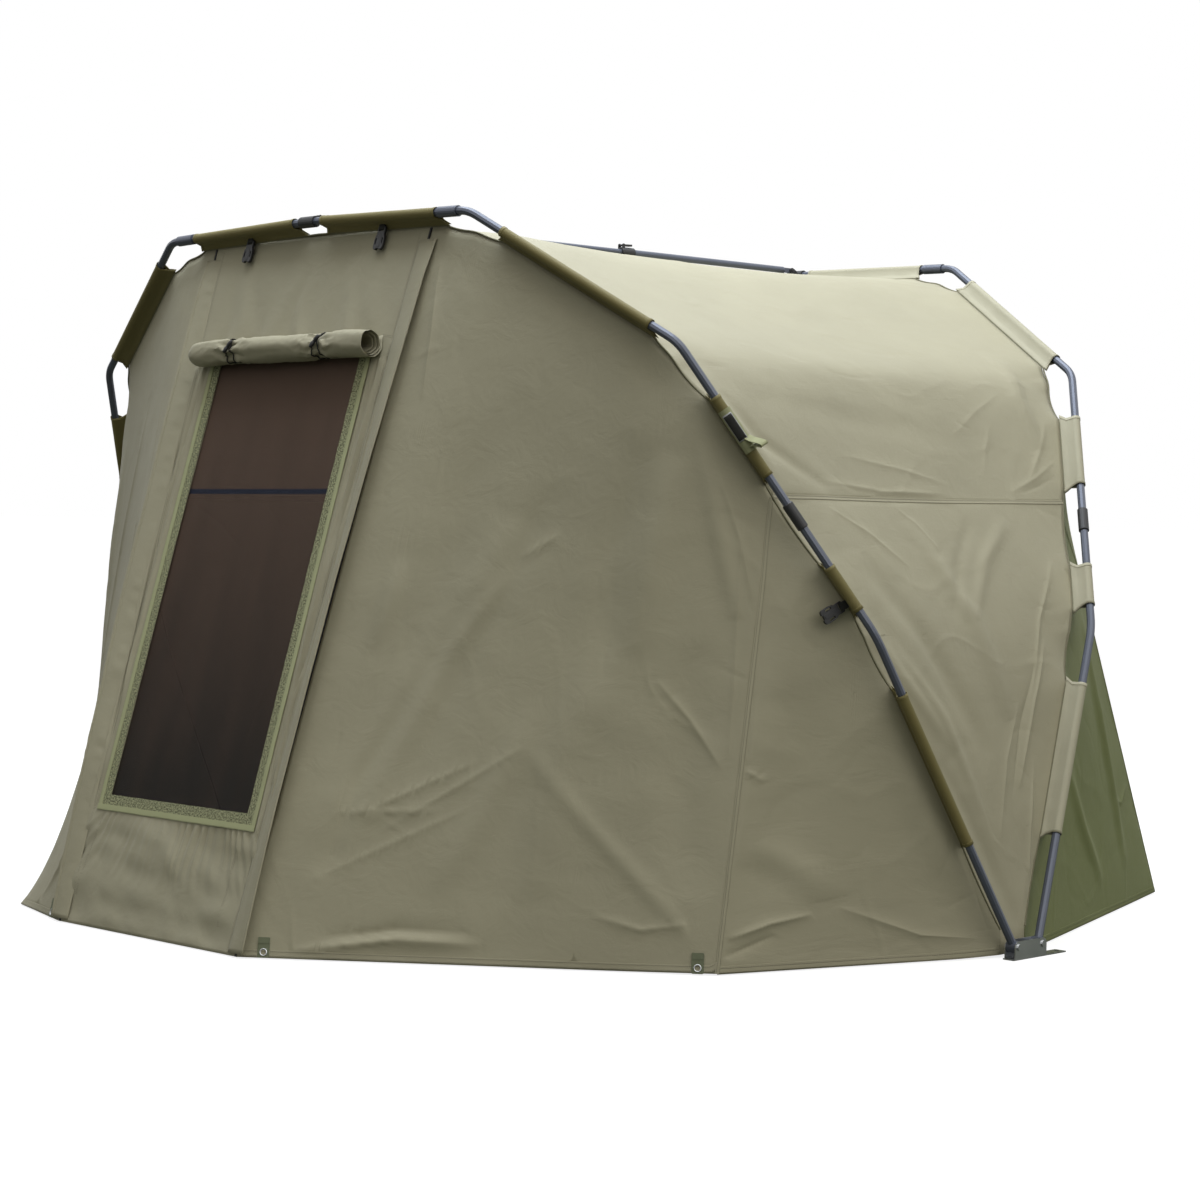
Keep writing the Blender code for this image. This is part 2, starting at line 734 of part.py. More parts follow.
def roof_and_sides():
    """The skin between the ribs: a roof from seam to seam, and a narrowing wall below each seam."""
    seam = MARKS["seam"]
    last = len(SKIN) - 1

    def span(name, fronts, rears, sag, tail):
        grid = ruled(fronts, rears)
        rows = len(grid) - 1
        for i, row in enumerate(grid):
            bow = 4 * (i / rows) * (1 - i / rows)
            for j, point in enumerate(row):
                row[j] = point + (Vector((0, point.y, HEART.z)) - point).normalized() * (sag(j) * bow)
        return cloth(name, trimmed(grid, EDGE_INSET, EDGE_INSET, SEAM_INSET, tail), "canvas")

    roof = [(LEFT, i) for i in range(seam, 0, -1)] + [(RIGHT, i) for i in range(seam + 1)]
    fronts = [skin_point(FRONT, hand, i) for hand, i in roof]
    rears = [skin_point(REAR, hand, i) for hand, i in roof]
    span("roof_skin", fronts, rears, lambda j: ROOF_SAG, SEAM_INSET)
    for hand in (LEFT, RIGHT):
        fronts = [skin_point(FRONT, hand, i) for i in range(seam, last + 1)]
        rears = [skin_point(REAR, hand, i) for i in range(seam, last + 1)]
        fronts.append(hem_below(fronts[-1], LOOSE_HEM_RISE))
        rears.append(hem_below(rears[-1], LOOSE_HEM_RISE))
        count = len(fronts) - 1
        span(f"side_wall_{SIDE_NAMES[hand]}", fronts, rears, lambda j: ROOF_SAG * (1 - j / count) ** 2, 0.0)


def door_foot(hand, half=DOOR_BOTTOM_HALF):
    return Vector((hand * half, HUB_Y - FRONT_REACH, HEM_RISE))


def front_peg(hand):
    return Vector((hand * FRONT_PEG_X, HUB_Y - FRONT_PEG_REACH, HEM_RISE))


def wall_grid(hand):
    """The front wall beside the door, from its zip to the seam that runs down to the side peg."""
    first = MARKS["wall"]
    last = MARKS["seam"]
    edge = [skin_point(FRONT, hand, i) for i in range(first, last + 1)]
    foot = door_foot(hand, DOOR_BOTTOM_HALF + ZIP_WIDTH + 2 * ZIP_GAP)
    peg = front_peg(hand)
    grid = sagged(ruled(edge, spaced(foot, peg, edge)), WALL_SAG)
    if hand == LEFT:
        grid = kicked_out(grid, foot, peg)
    return trimmed(grid, EDGE_INSET, 0.0, ZIP_GAP, SEAM_INSET)


def kicked_out(grid, foot, peg):
    """Pulls the left front corner of the skirt out to its own peg."""
    run = (peg - foot).normalized()
    out = Vector((run.y, -run.x, 0))
    if out.y > 0:
        out = -out
    length = (peg - foot).length
    for row in grid:
        for j, point in enumerate(row):
            low = max(0.0, 1 - point.z / KICK_HEIGHT)
            place = (point - foot).dot(run) / length
            near = min(place / KICK_PLACE_SHARE, (1 - place) / (1 - KICK_PLACE_SHARE))
            row[j] = point + out * (KICK_OUT * low * max(0.0, near))
    return grid


def front_walls(parent):
    for hand in (LEFT, RIGHT):
        side = SIDE_NAMES[hand]
        grid = wall_grid(hand)
        cloth(f"front_wall_{side}", grid, "canvas", parent)
        seam = MARKS["seam"]
        last = len(SKIN) - 1
        edge = [skin_point(FRONT, hand, i) for i in range(seam, last + 1)]
        lowers = spaced(front_peg(hand), hem_below(edge[-1]), edge)
        corner = trimmed(sagged(ruled(edge, lowers), CORNER_SAG), EDGE_INSET, 0.0, SEAM_INSET, SEAM_INSET)
        cloth(f"front_corner_{side}", corner, "canvas", parent)


def rear_walls():
    apex = MARKS["apex"]
    last = len(SKIN) - 1
    pegs = {
        hand: Vector((hand * REAR_PEG_X, HUB_Y + REAR_REACH, HEM_RISE)) for hand in (LEFT, RIGHT)
    }
    places = [(LEFT, i) for i in range(apex, 0, -1)] + [(RIGHT, i) for i in range(apex + 1)]
    edge = [skin_point(REAR, hand, i) for hand, i in places]
    grid = sagged(ruled(edge, spaced(pegs[LEFT], pegs[RIGHT], edge)), REAR_SAG)
    grid = trimmed(grid, EDGE_INSET, 0.0, SEAM_INSET, SEAM_INSET)
    cloth("rear_centre_wall", grid, "rear_canvas")
    for side, inset in (("left", TAB_INSET), ("right", hem_length(grid) - TAB_INSET)):
        tab_on(f"rear_peg_tab_{side}", grid, inset, None)
    for hand in (LEFT, RIGHT):
        edge = [skin_point(REAR, hand, i) for i in range(apex, last + 1)]
        grid = sagged(ruled(edge, spaced(pegs[hand], hem_below(edge[-1]), edge)), CORNER_SAG)
        grid = trimmed(grid, EDGE_INSET, 0.0, SEAM_INSET, SEAM_INSET)
        cloth(f"rear_wall_{SIDE_NAMES[hand]}", grid, "rear_canvas")


def flap_frame(end, hand, start, finish):
    """Where a sleeve starts, which way it runs, and which way its flap hangs."""
    a = on_rib(end, hand * start.x, start.y)
    b = on_rib(end, hand * finish.x, finish.y)
    run = finish - start
    normal = Vector((run.y, -run.x)).normalized()
    if normal.dot(-start) < 0:
        normal = -normal
    base, up, middle = rib_axes(end)
    inward = Vector((hand * normal.x, 0, 0)) + up * normal.y
    return a, b, inward * SKIN_DROP + middle * SKIN_SET_BACK


def sleeve(end, hand, start, finish):
    """A sleeve round the tube, drawn together into the flap that holds the skin's edge."""
    a, b, hang = flap_frame(end, hand, Vector(start), Vector(finish))
    bore = TUBE_RADIUS + SLEEVE_GAP
    outer = bore + SLEEVE_WALL
    half = FLAP_THICKNESS / 2
    neck = outer / cos(SLEEVE_NECK_ANGLE)
    reach = hang.length
    arc = circle(outer, SLEEVE_SIDES, start=SLEEVE_NECK_ANGLE, sweep=2 * pi - 2 * SLEEVE_NECK_ANGLE)
    outline = arc + [(neck, -half), (reach, -half), (reach, half), (neck, half)]
    length = (b - a).length

    def slanted(bm):
        for vert in bm.verts:
            share = max(0.0, (vert.co.x - neck) / (reach - neck))
            way = 1 if vert.co.z < length / 2 else -1
            vert.co.z += way * FLAP_SLANT * share

    place = frame_at(a, b - a, hang)
    hole = circle(bore, SLEEVE_SIDES)
    return prism("sleeve", outline, length, place, "sleeve", holes=[hole], shift=slanted)


def sleeves(end, parent):
    """On each side the piping along the skin's edge, with its five sleeves sewn to it."""
    places = [
        (ELBOW, SHOULDER, SHOULDER_SLEEVE_SHARES),
        (SHOULDER, KNEE, UPPER_LEG_SLEEVE_SHARES),
        (SHOULDER, KNEE, MIDDLE_LEG_SLEEVE_SHARES),
        (KNEE, FOOT, LOWER_LEG_SLEEVE_SHARES),
    ]
    top_end = step_from(ELBOW_JOINT, CROWN, FERRULE_LENGTH / 2 + TOP_SLEEVE_CLEAR)
    spans = [(step_from(CROWN, ELBOW, RUNNING_GAP), top_end)]
    spans += [(between(a, b, shares[0]), between(a, b, shares[1])) for a, b, shares in places]
    for hand in (LEFT, RIGHT):
        edge = [skin_point(end, hand, i) for i in range(len(SKIN))]
        edge[0] = step_from(edge[0], edge[1], RUNNING_GAP)
        name = f"{END_NAMES[end]}_sleeves_{SIDE_NAMES[hand]}"
        piping = rod(name, edge, PIPING_RADIUS, "sleeve", parent, resolution=0)
        joined(piping, *[sleeve(end, hand, start, finish) for start, finish in spans])
        if end == FRONT:
            joined(piping, buckle_web(hand), leg_buckle_web(hand))


def door_axes():
    """The height of the skin's edge at the door's corners, and the ways down its face and out of it."""
    top = skin_point(FRONT, RIGHT, MARKS["door"])
    top.x = 0.0
    foot = Vector((0, HUB_Y - FRONT_REACH, 0))
    down = (foot - top).normalized()
    out = Vector((1, 0, 0)).cross(down)
    if out.y > 0:
        out = -out
    return top, down, out


SKIN_TOP, DOOR_DOWN, DOOR_OUT = door_axes()
DOOR_TOP = SKIN_TOP + DOOR_DOWN * (PIPING_RADIUS + DOOR_EDGE_GAP)
DOOR_HINGE = SKIN_TOP + DOOR_DOWN * DOOR_HINGE_DROP
DOOR_LENGTH = (DOOR_TOP.z - HEM_RISE) / -DOOR_DOWN.z
DOOR_EDGE_RUN = Vector((DOOR_BOTTOM_HALF - DOOR_TOP_HALF, DOOR_LENGTH)).normalized()


def door_place(lift):
    """A placing with X to the right, Y up the door's face, and Z out of it."""
    turn = Matrix((Vector((1, 0, 0)), -DOOR_DOWN, DOOR_OUT)).transposed().to_4x4()
    return Matrix.Translation(DOOR_TOP + DOOR_OUT * lift) @ turn


def down_to(height):
    """How far down the door's face a height above the ground lies."""
    return (DOOR_TOP.z - height) / -DOOR_DOWN.z


def window_outline(grow=0.0):
    head = down_to(WINDOW_HEAD)
    sill = down_to(WINDOW_SILL)
    half_x = WINDOW_HALF + grow
    return box_outline(half_x, (sill - head) / 2 + grow, centre=(0, -(head + sill) / 2))


def door(parent):
    outline = [
        (-DOOR_TOP_HALF, 0),
        (-DOOR_BOTTOM_HALF, -DOOR_LENGTH),
        (DOOR_BOTTOM_HALF, -DOOR_LENGTH),
        (DOOR_TOP_HALF, 0),
        (0, DOOR_PEAK),
    ]
    prism("door_panel", outline, FABRIC, door_place(-FABRIC / 2), "canvas", parent, holes=[window_outline()])
    behind = -FABRIC / 2 - RUNNING_GAP - MESH_THICKNESS
    prism("window_mesh", window_outline(MESH_LAP), MESH_THICKNESS, door_place(behind), "mesh", parent)
    head = -down_to(WINDOW_HEAD)
    sill = -down_to(WINDOW_SILL)
    wide = WINDOW_HALF + TRIM_WIDTH
    trim = [
        (-wide, head),
        (-wide, sill - TRIM_WIDTH),
        (wide, sill - TRIM_WIDTH),
        (wide, head),
        (WINDOW_HALF, head),
        (WINDOW_HALF, sill),
        (-WINDOW_HALF, sill),
        (-WINDOW_HALF, head),
    ]
    prism("window_trim", trim, TRIM_THICKNESS, door_place(FABRIC / 2 + RUNNING_GAP), "webbing", parent)
    cover_roll(parent)
    for hand in (LEFT, RIGHT):
        roll_toggle(hand, parent)
        storm_flap(hand, parent)


ROLL_LIFT = FABRIC / 2 + RUNNING_GAP + ROLL_RADIUS


def roll_axis_place(x):
    """A placing on the roll's axis, with Z along +X, X out of the door and Y up its face."""
    centre = DOOR_TOP + DOOR_DOWN * down_to(ROLL_HEIGHT) + DOOR_OUT * ROLL_LIFT
    turn = Matrix((DOOR_OUT, -DOOR_DOWN, Vector((1, 0, 0)))).transposed().to_4x4()
    return Matrix.Translation(centre + Vector((x, 0, 0))) @ turn


def cover_roll(parent):
    """The window's cover rolled up: one cloth in a spiral, and its top edge sewn to the door."""
    steps = ROLL_TURNS * ROLL_STEPS
    middle = []
    pitch = (ROLL_RADIUS - ROLL_CLOTH / 2 - ROLL_CORE) / ROLL_TURNS
    gap = pitch - ROLL_CLOTH
    print(f"least gap between the roll's turns: {gap * 1000:.2f} mm")
    for i in range(steps + 1):
        angle = pi + 2 * pi * (ROLL_TURNS - i / ROLL_STEPS)
        radius = ROLL_CORE + pitch * i / ROLL_STEPS
        middle.append((radius, angle))
    inner = [((r - ROLL_CLOTH / 2) * cos(a), (r - ROLL_CLOTH / 2) * sin(a)) for r, a in middle]
    outer = [((r + ROLL_CLOTH / 2) * cos(a), (r + ROLL_CLOTH / 2) * sin(a)) for r, a in middle]
    back = -ROLL_RADIUS
    tail = [(back, ROLL_TAIL), (back + ROLL_CLOTH, ROLL_TAIL), (back + ROLL_CLOTH, ROLL_CLOTH)]
    outline = outer + tail + inner[::-1]
    prism("window_cover_roll", outline, ROLL_HALF * 2, roll_axis_place(-ROLL_HALF), "canvas", parent)


def roll_toggle(hand, parent):
    """An elastic band round the roll, closed by a barrel toggle at its front."""
    bore = ROLL_RADIUS + RUNNING_GAP
    outer = bore + TOGGLE_BAND_THICKNESS
    half = TOGGLE_BAND_WIDTH / 2
    start = radians(150.0)
    band = circle(outer, ROUND_SIDES, start=-start, sweep=2 * start)
    band += circle(bore, ROUND_SIDES, start=start, sweep=-2 * start)
    x = hand * TOGGLE_X
    name = f"roll_toggle_{SIDE_NAMES[hand]}"
    toggle = prism(name, band, TOGGLE_BAND_WIDTH, roll_axis_place(x - half), "moulding", parent)
    settle(toggle)
    place = roll_axis_place(x)
    lift = outer + TOGGLE_RADIUS / 2
    ends = [place @ Vector((lift, way * TOGGLE_LENGTH / 2, 0)) for way in (-1, 1)]
    return joined(toggle, cylinder("barrel", ends[0], ends[1], TOGGLE_RADIUS, "moulding"))


def edge_place(hand, outside, lift, start):
    """A placing down the zip's line: Z down the line, X across it and outwards, Y out of the door."""
    run = Vector((hand * DOOR_EDGE_RUN.x, 0, 0)) + DOOR_DOWN * DOOR_EDGE_RUN.y
    across = DOOR_OUT.cross(run)
    if across.x * hand < 0:
        across = -across
    turn = Matrix((across, DOOR_OUT, run)).transposed().to_4x4()
    corner = DOOR_TOP + Vector((hand * DOOR_TOP_HALF, 0, 0))
    return Matrix.Translation(corner + across * outside + DOOR_OUT * lift + run * start) @ turn


EDGE_LENGTH = DOOR_LENGTH / DOOR_EDGE_RUN.y


def storm_flap(hand, parent):
    """A strip sewn to the door's face that stands over the zip, with its free edge outwards."""
    lift = STORM_FLAP_LIFT
    seam = STORM_FLAP_SEAM
    wide = STORM_FLAP_WIDTH - seam
    skin = FABRIC
    outline = [
        (-seam, 0),
        (0, 0),
        (seam / 2, lift - skin),
        (wide - skin, lift - skin),
        (wide, lift - 2 * skin),
        (wide + skin, lift - skin),
        (wide, lift),
        (seam / 4, lift),
        (-seam / 3, skin),
        (-seam, skin),
    ]
    start = STORM_FLAP_TOP_GAP
    length = EDGE_LENGTH - start - STORM_FLAP_FOOT_GAP
    place = edge_place(hand, -seam / 3, FABRIC / 2 + RUNNING_GAP, start)
    prism(f"storm_flap_{SIDE_NAMES[hand]}", outline, length, place, "canvas", parent)


def zips(parent):
    """On each side the zip's chain in the slit beside the door."""
    for hand in (LEFT, RIGHT):
        outline = box_outline(ZIP_WIDTH / 2, ZIP_THICKNESS / 2)
        place = edge_place(hand, ZIP_GAP + ZIP_WIDTH / 2, 0.0, 0.0)
        prism(f"zip_track_{SIDE_NAMES[hand]}", outline, EDGE_LENGTH, place, "moulding", parent)


def zip_slider(hand, parent):
    """A slider on the front of the zip's chain, and its pull."""
    outline = box_outline(ZIP_WIDTH / 2, SLIDER_THICKNESS / 2)
    lift = ZIP_THICKNESS / 2 + RUNNING_GAP + SLIDER_THICKNESS / 2
    start = EDGE_LENGTH - SLIDER_START - SLIDER_LENGTH
    place = edge_place(hand, ZIP_GAP + ZIP_WIDTH / 2, lift, start)
    slider = prism(f"zip_slider_{SIDE_NAMES[hand]}", outline, SLIDER_LENGTH, place, "steel", parent)
    settle(slider)
    pull = prism(
        "pull",
        box_outline(PULL_WIDTH / 2, PULL_THICKNESS / 2),
        PULL_LENGTH,
        edge_place(hand, ZIP_GAP + ZIP_WIDTH / 2, lift, start - PULL_LENGTH + OVERRUN),
        "steel",
    )
    return joined(slider, pull)


def buckle_seam(hand):
    """The skin's edge and the tube's middle where a door buckle is sewn on."""
    share = (BUCKLE_X - CROWN_HALF) / (ELBOW_X - CROWN_HALF)
    _, rise = between(CROWN, ELBOW, share)
    edge = on_rib(FRONT, hand * BUCKLE_X, rise - SKIN_DROP, SKIN_SET_BACK)
    return edge, on_rib(FRONT, hand * BUCKLE_X, rise)


def buckle_pivot(hand):
    """The bar that a door buckle swings on, in front of the door and above its hinge line."""
    edge, _ = buckle_seam(hand)
    return edge + DOOR_DOWN * BUCKLE_DROP + DOOR_OUT * BUCKLE_OFFSET


def leg_buckle_axes(hand):
    """Pivot, the way that the buckle points, and the way out of the wall, for the buckle on the leg."""
    spot = between(SHOULDER, KNEE, LEG_BUCKLE_SHARE)
    run = (Vector(KNEE) - Vector(SHOULDER)).normalized()
    edge = spot + Vector((run.y, -run.x)) * SKIN_DROP
    place = on_rib(FRONT, hand * edge.x, edge.y, SKIN_SET_BACK)
    seam = skin_point(FRONT, hand, MARKS["seam"])
    peg = front_peg(hand)
    foot = skin_point(FRONT, hand, len(SKIN) - 1)
    out = (peg - seam).cross(foot - seam).normalized()
    if out.y > 0:
        out = -out
    along = (foot - seam).normalized()
    point = out.cross(along)
    if point.x * hand > 0:
        point = -point
    return place + out * LEG_BUCKLE_OFFSET + point * LEG_WEB_REACH, point, out


def web_loop(place, axis, sewn):
    """A band of webbing from a seam to a loop round a buckle's bar."""
    outer = BUCKLE_BAR_RADIUS + RUNNING_GAP + BUCKLE_WEB_THICKNESS
    half = Vector(axis).normalized() * (BUCKLE_WEB_WIDTH / 2)
    bar = cylinder("loop", place - half, place + half, outer, "webbing")
    reach = (sewn - place).length + RUNNING_GAP
    inset = Vector(axis).normalized() * RUNNING_GAP
    strip = prism(
        "strip",
        box_outline(reach / 2, BUCKLE_WEB_THICKNESS / 2, centre=(reach / 2, 0)),
        BUCKLE_WEB_WIDTH - RUNNING_GAP * 2,
        frame_at(place - half + inset, axis, sewn - place),
        "webbing",
    )
    joined(bar, strip)
    past = half * 2
    bore = cylinder("bore", place - past, place + past, BUCKLE_BAR_RADIUS + RUNNING_GAP, "webbing")
    return cut(bar, bore)


def buckle_web(hand):
    edge, tube = buckle_seam(hand)
    return web_loop(buckle_pivot(hand), (1, 0, 0), between(edge, tube, WEB_SEAM_SHARE))


def leg_buckle_web(hand):
    place, point, out = leg_buckle_axes(hand)
    x, rise = between(SHOULDER, KNEE, LEG_BUCKLE_SHARE)
    edge = place - out * LEG_BUCKLE_OFFSET - point * LEG_WEB_REACH
    sewn = between(edge, on_rib(FRONT, hand * x, rise), WEB_SEAM_SHARE)
    return web_loop(place, point.cross(out), sewn)


def buckle(name, place, point, axis, finish, parent):
    """Half of a side-release buckle: a bar for the webbing, and a body that widens to its mouth."""
    axis = Vector(axis).normalized()
    half = BUCKLE_THICKNESS / 2
    side_in = BUCKLE_WEB_WIDTH / 2 + RUNNING_GAP
    side_out = BUCKLE_TOP_WIDTH / 2
    foot = BUCKLE_FOOT_WIDTH / 2
    outline = [
        (-BUCKLE_END, side_in),
        (-BUCKLE_END, side_out),
        (BUCKLE_EYE, side_out),
        (BUCKLE_LENGTH, foot),
        (BUCKLE_LENGTH, -foot),
        (BUCKLE_EYE, -side_out),
        (-BUCKLE_END, -side_out),
        (-BUCKLE_END, -side_in),
        (BUCKLE_EYE, -side_in),
        (BUCKLE_EYE, side_in),
    ]
    out = axis.cross(point).normalized()
    placing = frame_at(place - out * half, out, point)
    body = prism(name, outline, BUCKLE_THICKNESS, placing, finish, parent)
    settle(body)
    reach_in = axis * ((side_in + side_out) / 2)
    bar = cylinder("bar", place - reach_in, place + reach_in, BUCKLE_BAR_RADIUS, finish, sides=PIN_SIDES)
    return joined(body, bar)


def crown_centre(end):
    return on_rib(end, 0.0, CROWN_RISE)


def ridge_pin(end):
    """Where the ridge bar's pin sits, beside the crown of a rib and towards the tent's middle."""
    return crown_centre(end) + Vector((0, -end * RIDGE_SET, RIDGE_RISE))


def centre_joint(end, parent):
    """The moulding at a rib's crown: a sleeve on the top bar with two ears for the ridge bar."""
    centre = crown_centre(end)
    reach = Vector((CENTRE_JOINT_HALF, 0, 0))
    name = f"{END_NAMES[end]}_centre_joint"
    joint = cylinder(name, centre - reach, centre + reach, CENTRE_JOINT_RADIUS, "moulding", parent)
    settle(joint)
    pin = ridge_pin(end)
    offset = pin - centre
    slope = atan2(offset.z, offset.y)
    root = CENTRE_JOINT_RADIUS / 2
    distance = hypot(offset.y, offset.z)
    outline = [(0, root), (0, -root)]
    outline += circle(EAR_RADIUS, ROUND_SIDES // 2, centre=(distance, 0), start=-pi / 2, sweep=pi)
    along = Vector((0, cos(slope), sin(slope)))
    inner = TONGUE_THICKNESS / 2 + RUNNING_GAP
    for edge in (-inner - EAR_THICKNESS, inner):
        place = frame_at(centre + Vector((edge, 0, 0)), (1, 0, 0), along)
        joined(joint, prism("ear", outline, EAR_THICKNESS, place, "moulding"))
    past = Vector((CENTRE_JOINT_HALF + OVERRUN, 0, 0))
    bore = cylinder("bore", centre - past, centre + past, TUBE_RADIUS + RUNNING_GAP, "moulding")
    cut(joint, bore)
    width = Vector((inner + EAR_THICKNESS, 0, 0))
    if end == REAR:
        rivet = width + Vector((EAR_HEAD_HEIGHT, 0, 0))
        joined(joint, cylinder("rivet", pin - rivet, pin + rivet, RIDGE_PIN_RADIUS, "moulding"))
        return joint
    wide = RIDGE_PIN_RADIUS + RUNNING_GAP
    reach = CRADLE_DEPTH
    flare = reach * tan(CRADLE_FLARE)
    slot = circle(wide, ROUND_SIDES // 2, start=pi / 2, sweep=pi)
    slot += [(reach, -wide - flare), (reach, wide + flare)]
    open_way = Vector((0, -sin(CRADLE_TILT), cos(CRADLE_TILT)))
    start = pin - width - Vector((OVERRUN, 0, 0))
    tool = prism("slot", slot, (width.x + OVERRUN) * 2, frame_at(start, (1, 0, 0), open_way), "moulding")
    return cut(joint, tool)


RIDGE_REAR = ridge_pin(REAR)
RIDGE_FRONT = ridge_pin(FRONT)
RIDGE_RUN = (RIDGE_FRONT - RIDGE_REAR).normalized()
RIDGE_LENGTH = (RIDGE_FRONT - RIDGE_REAR).length


def on_ridge(reach):
    """A point on the ridge bar, measured forwards from its rear pin."""
    return RIDGE_REAR + RIDGE_RUN * reach


def tongue(name, pin_reach, root_reach, finish, parent=None):
    """A flat tongue with a round end, from a tube's end to a pin."""
    way = 1 if root_reach > pin_reach else -1
    length = abs(root_reach - pin_reach)
    outline = circle(TONGUE_HALF_HEIGHT, ROUND_SIDES // 2, start=pi / 2, sweep=pi)
    outline += [(length, -TONGUE_HALF_HEIGHT), (length, TONGUE_HALF_HEIGHT)]
    half = TONGUE_THICKNESS / 2
    place = frame_at(on_ridge(pin_reach) - Vector((half, 0, 0)), (1, 0, 0), RIDGE_RUN * way)
    return prism(name, outline, TONGUE_THICKNESS, place, finish, parent)


def ridge_outer(parent):
    """The rear tube with its eye, the collar at its mouth, and the collar's locking lever."""
    mouth = RIDGE_LENGTH * (1 - RIDGE_JOINT_SHARE)
    tube = cylinder(
        "ridge_outer_tube", on_ridge(TONGUE_LENGTH), on_ridge(mouth), RIDGE_OUTER_RADIUS, "tube", parent
    )
    settle(tube)
    joined(tube, tongue("tongue", 0.0, TONGUE_LENGTH + OVERRUN, "tube"))
    reach = Vector((TONGUE_THICKNESS, 0, 0))
    eye = cylinder("eye", RIDGE_REAR - reach, RIDGE_REAR + reach, RIDGE_PIN_RADIUS + RUNNING_GAP, "tube")
    depth = mouth - RIDGE_OVERLAP - RIDGE_TRAVEL - RIDGE_END_CLEAR
    bore = cylinder(
        "bore", on_ridge(depth), on_ridge(mouth + OVERRUN), RIDGE_INNER_RADIUS + RUNNING_GAP, "tube"
    )
    cut(tube, eye, bore)
    collar(mouth, parent)


def lever_pin(mouth):
    return on_ridge(mouth + COLLAR_LIP - LUG_RADIUS) + Vector((0, 0, LUG_RISE))


def collar(mouth, parent):
    """A moulded collar over the outer tube's mouth, with two lugs for the locking lever."""
    seat = RIDGE_OUTER_RADIUS + RUNNING_GAP
    throat = RIDGE_INNER_RADIUS + RUNNING_GAP
    back = -(COLLAR_LENGTH - COLLAR_LIP)
    chamfer = FERRULE_CHAMFER
    profile = [
        (seat, back),
        (COLLAR_RADIUS - chamfer, back),
        (COLLAR_RADIUS, back + chamfer),
        (COLLAR_RADIUS, COLLAR_LIP - chamfer),
        (COLLAR_RADIUS - chamfer, COLLAR_LIP),
        (throat, COLLAR_LIP),
        (throat, RUNNING_GAP),
        (seat, RUNNING_GAP),
    ]
    place = frame_at(on_ridge(mouth), RIDGE_RUN, (0, 0, 1))
    body = turned("ridge_lock_collar", profile, place, "moulding", parent)
    settle(body)
    pin = lever_pin(mouth)
    base = COLLAR_RADIUS * LUG_ROOT_SHARE - LUG_RISE
    lug = circle(LUG_RADIUS, ROUND_SIDES // 2, start=0.0, sweep=pi)
    lug += [(-LUG_RADIUS, base), (LUG_RADIUS, base)]
    inner = LEVER_WIDTH / 2 + RUNNING_GAP
    turn = Matrix(((0, 0, 1, 0), (1, 0, 0, 0), (0, 1, 0, 0), (0, 0, 0, 1)))
    for edge in (-inner - LUG_THICKNESS, inner):
        placing = Matrix.Translation(pin + Vector((edge, 0, 0))) @ turn
        joined(body, prism("lug", lug, LUG_THICKNESS, placing, "moulding"))
    past = Vector((inner + LUG_THICKNESS + OVERRUN, 0, 0))
    bore = LEVER_PIN_RADIUS + RUNNING_GAP
    cut(body, cylinder("lug_bore", pin - past, pin + past, bore, "moulding", sides=PIN_SIDES))


def lever(parent):
    """The lever that locks the ridge bar's length, lying back along the collar."""
    mouth = RIDGE_LENGTH * (1 - RIDGE_JOINT_SHARE)
    pin = lever_pin(mouth)
    half = LEVER_THICKNESS / 2
    outline = circle(half, ROUND_SIDES // 2, start=-pi / 2, sweep=pi)
    outline += [(-LEVER_LENGTH, half / 2), (-LEVER_LENGTH, -half - half / 2)]
    placing = frame_at(pin - Vector((LEVER_WIDTH / 2, 0, 0)), (1, 0, 0), (0, -1, 0))
    blade = prism("ridge_lock_lever", outline, LEVER_WIDTH, placing, "moulding", parent)
    settle(blade)
    reach = Vector((LEVER_WIDTH / 2 + RUNNING_GAP + LUG_THICKNESS, 0, 0))
    shaft = cylinder("pin", pin - reach, pin + reach, LEVER_PIN_RADIUS, "moulding", sides=PIN_SIDES)
    return joined(blade, shaft)


def ridge_inner(parent):
    """The front tube that slides in the rear one, and the hook that drops into the front cradle."""
    mouth = RIDGE_LENGTH * (1 - RIDGE_JOINT_SHARE)
    front = RIDGE_LENGTH - TONGUE_LENGTH
    start = mouth - RIDGE_OVERLAP
    cylinder("ridge_inner_tube", on_ridge(start), on_ridge(front), RIDGE_INNER_RADIUS, "tube", parent)
    bore = RIDGE_INNER_RADIUS + RUNNING_GAP
    back = front - HOOK_PLUG_LENGTH
    place = frame_at(on_ridge(back), RIDGE_RUN, (0, 0, 1))
    wall = RIDGE_OUTER_RADIUS + RUNNING_GAP * 2
    profile = [
        (bore, 0),
        (wall, 0),
        (wall, HOOK_PLUG_LENGTH + OVERRUN),
        (RIDGE_PIN_RADIUS, HOOK_PLUG_LENGTH + OVERRUN),
        (RIDGE_PIN_RADIUS, HOOK_PLUG_LENGTH + RUNNING_GAP),
        (bore, HOOK_PLUG_LENGTH + RUNNING_GAP),
    ]
    hook = turned("ridge_front_hook", profile, place, "moulding", parent)
    settle(hook)
    joined(hook, tongue("tongue", RIDGE_LENGTH, front + RUNNING_GAP * 2, "moulding"))
    reach = Vector((TONGUE_THICKNESS / 2 + RUNNING_GAP + EAR_THICKNESS, 0, 0))
    pin = cylinder("cross_pin", RIDGE_FRONT - reach, RIDGE_FRONT + reach, RIDGE_PIN_RADIUS, "moulding")
    joined(hook, pin)


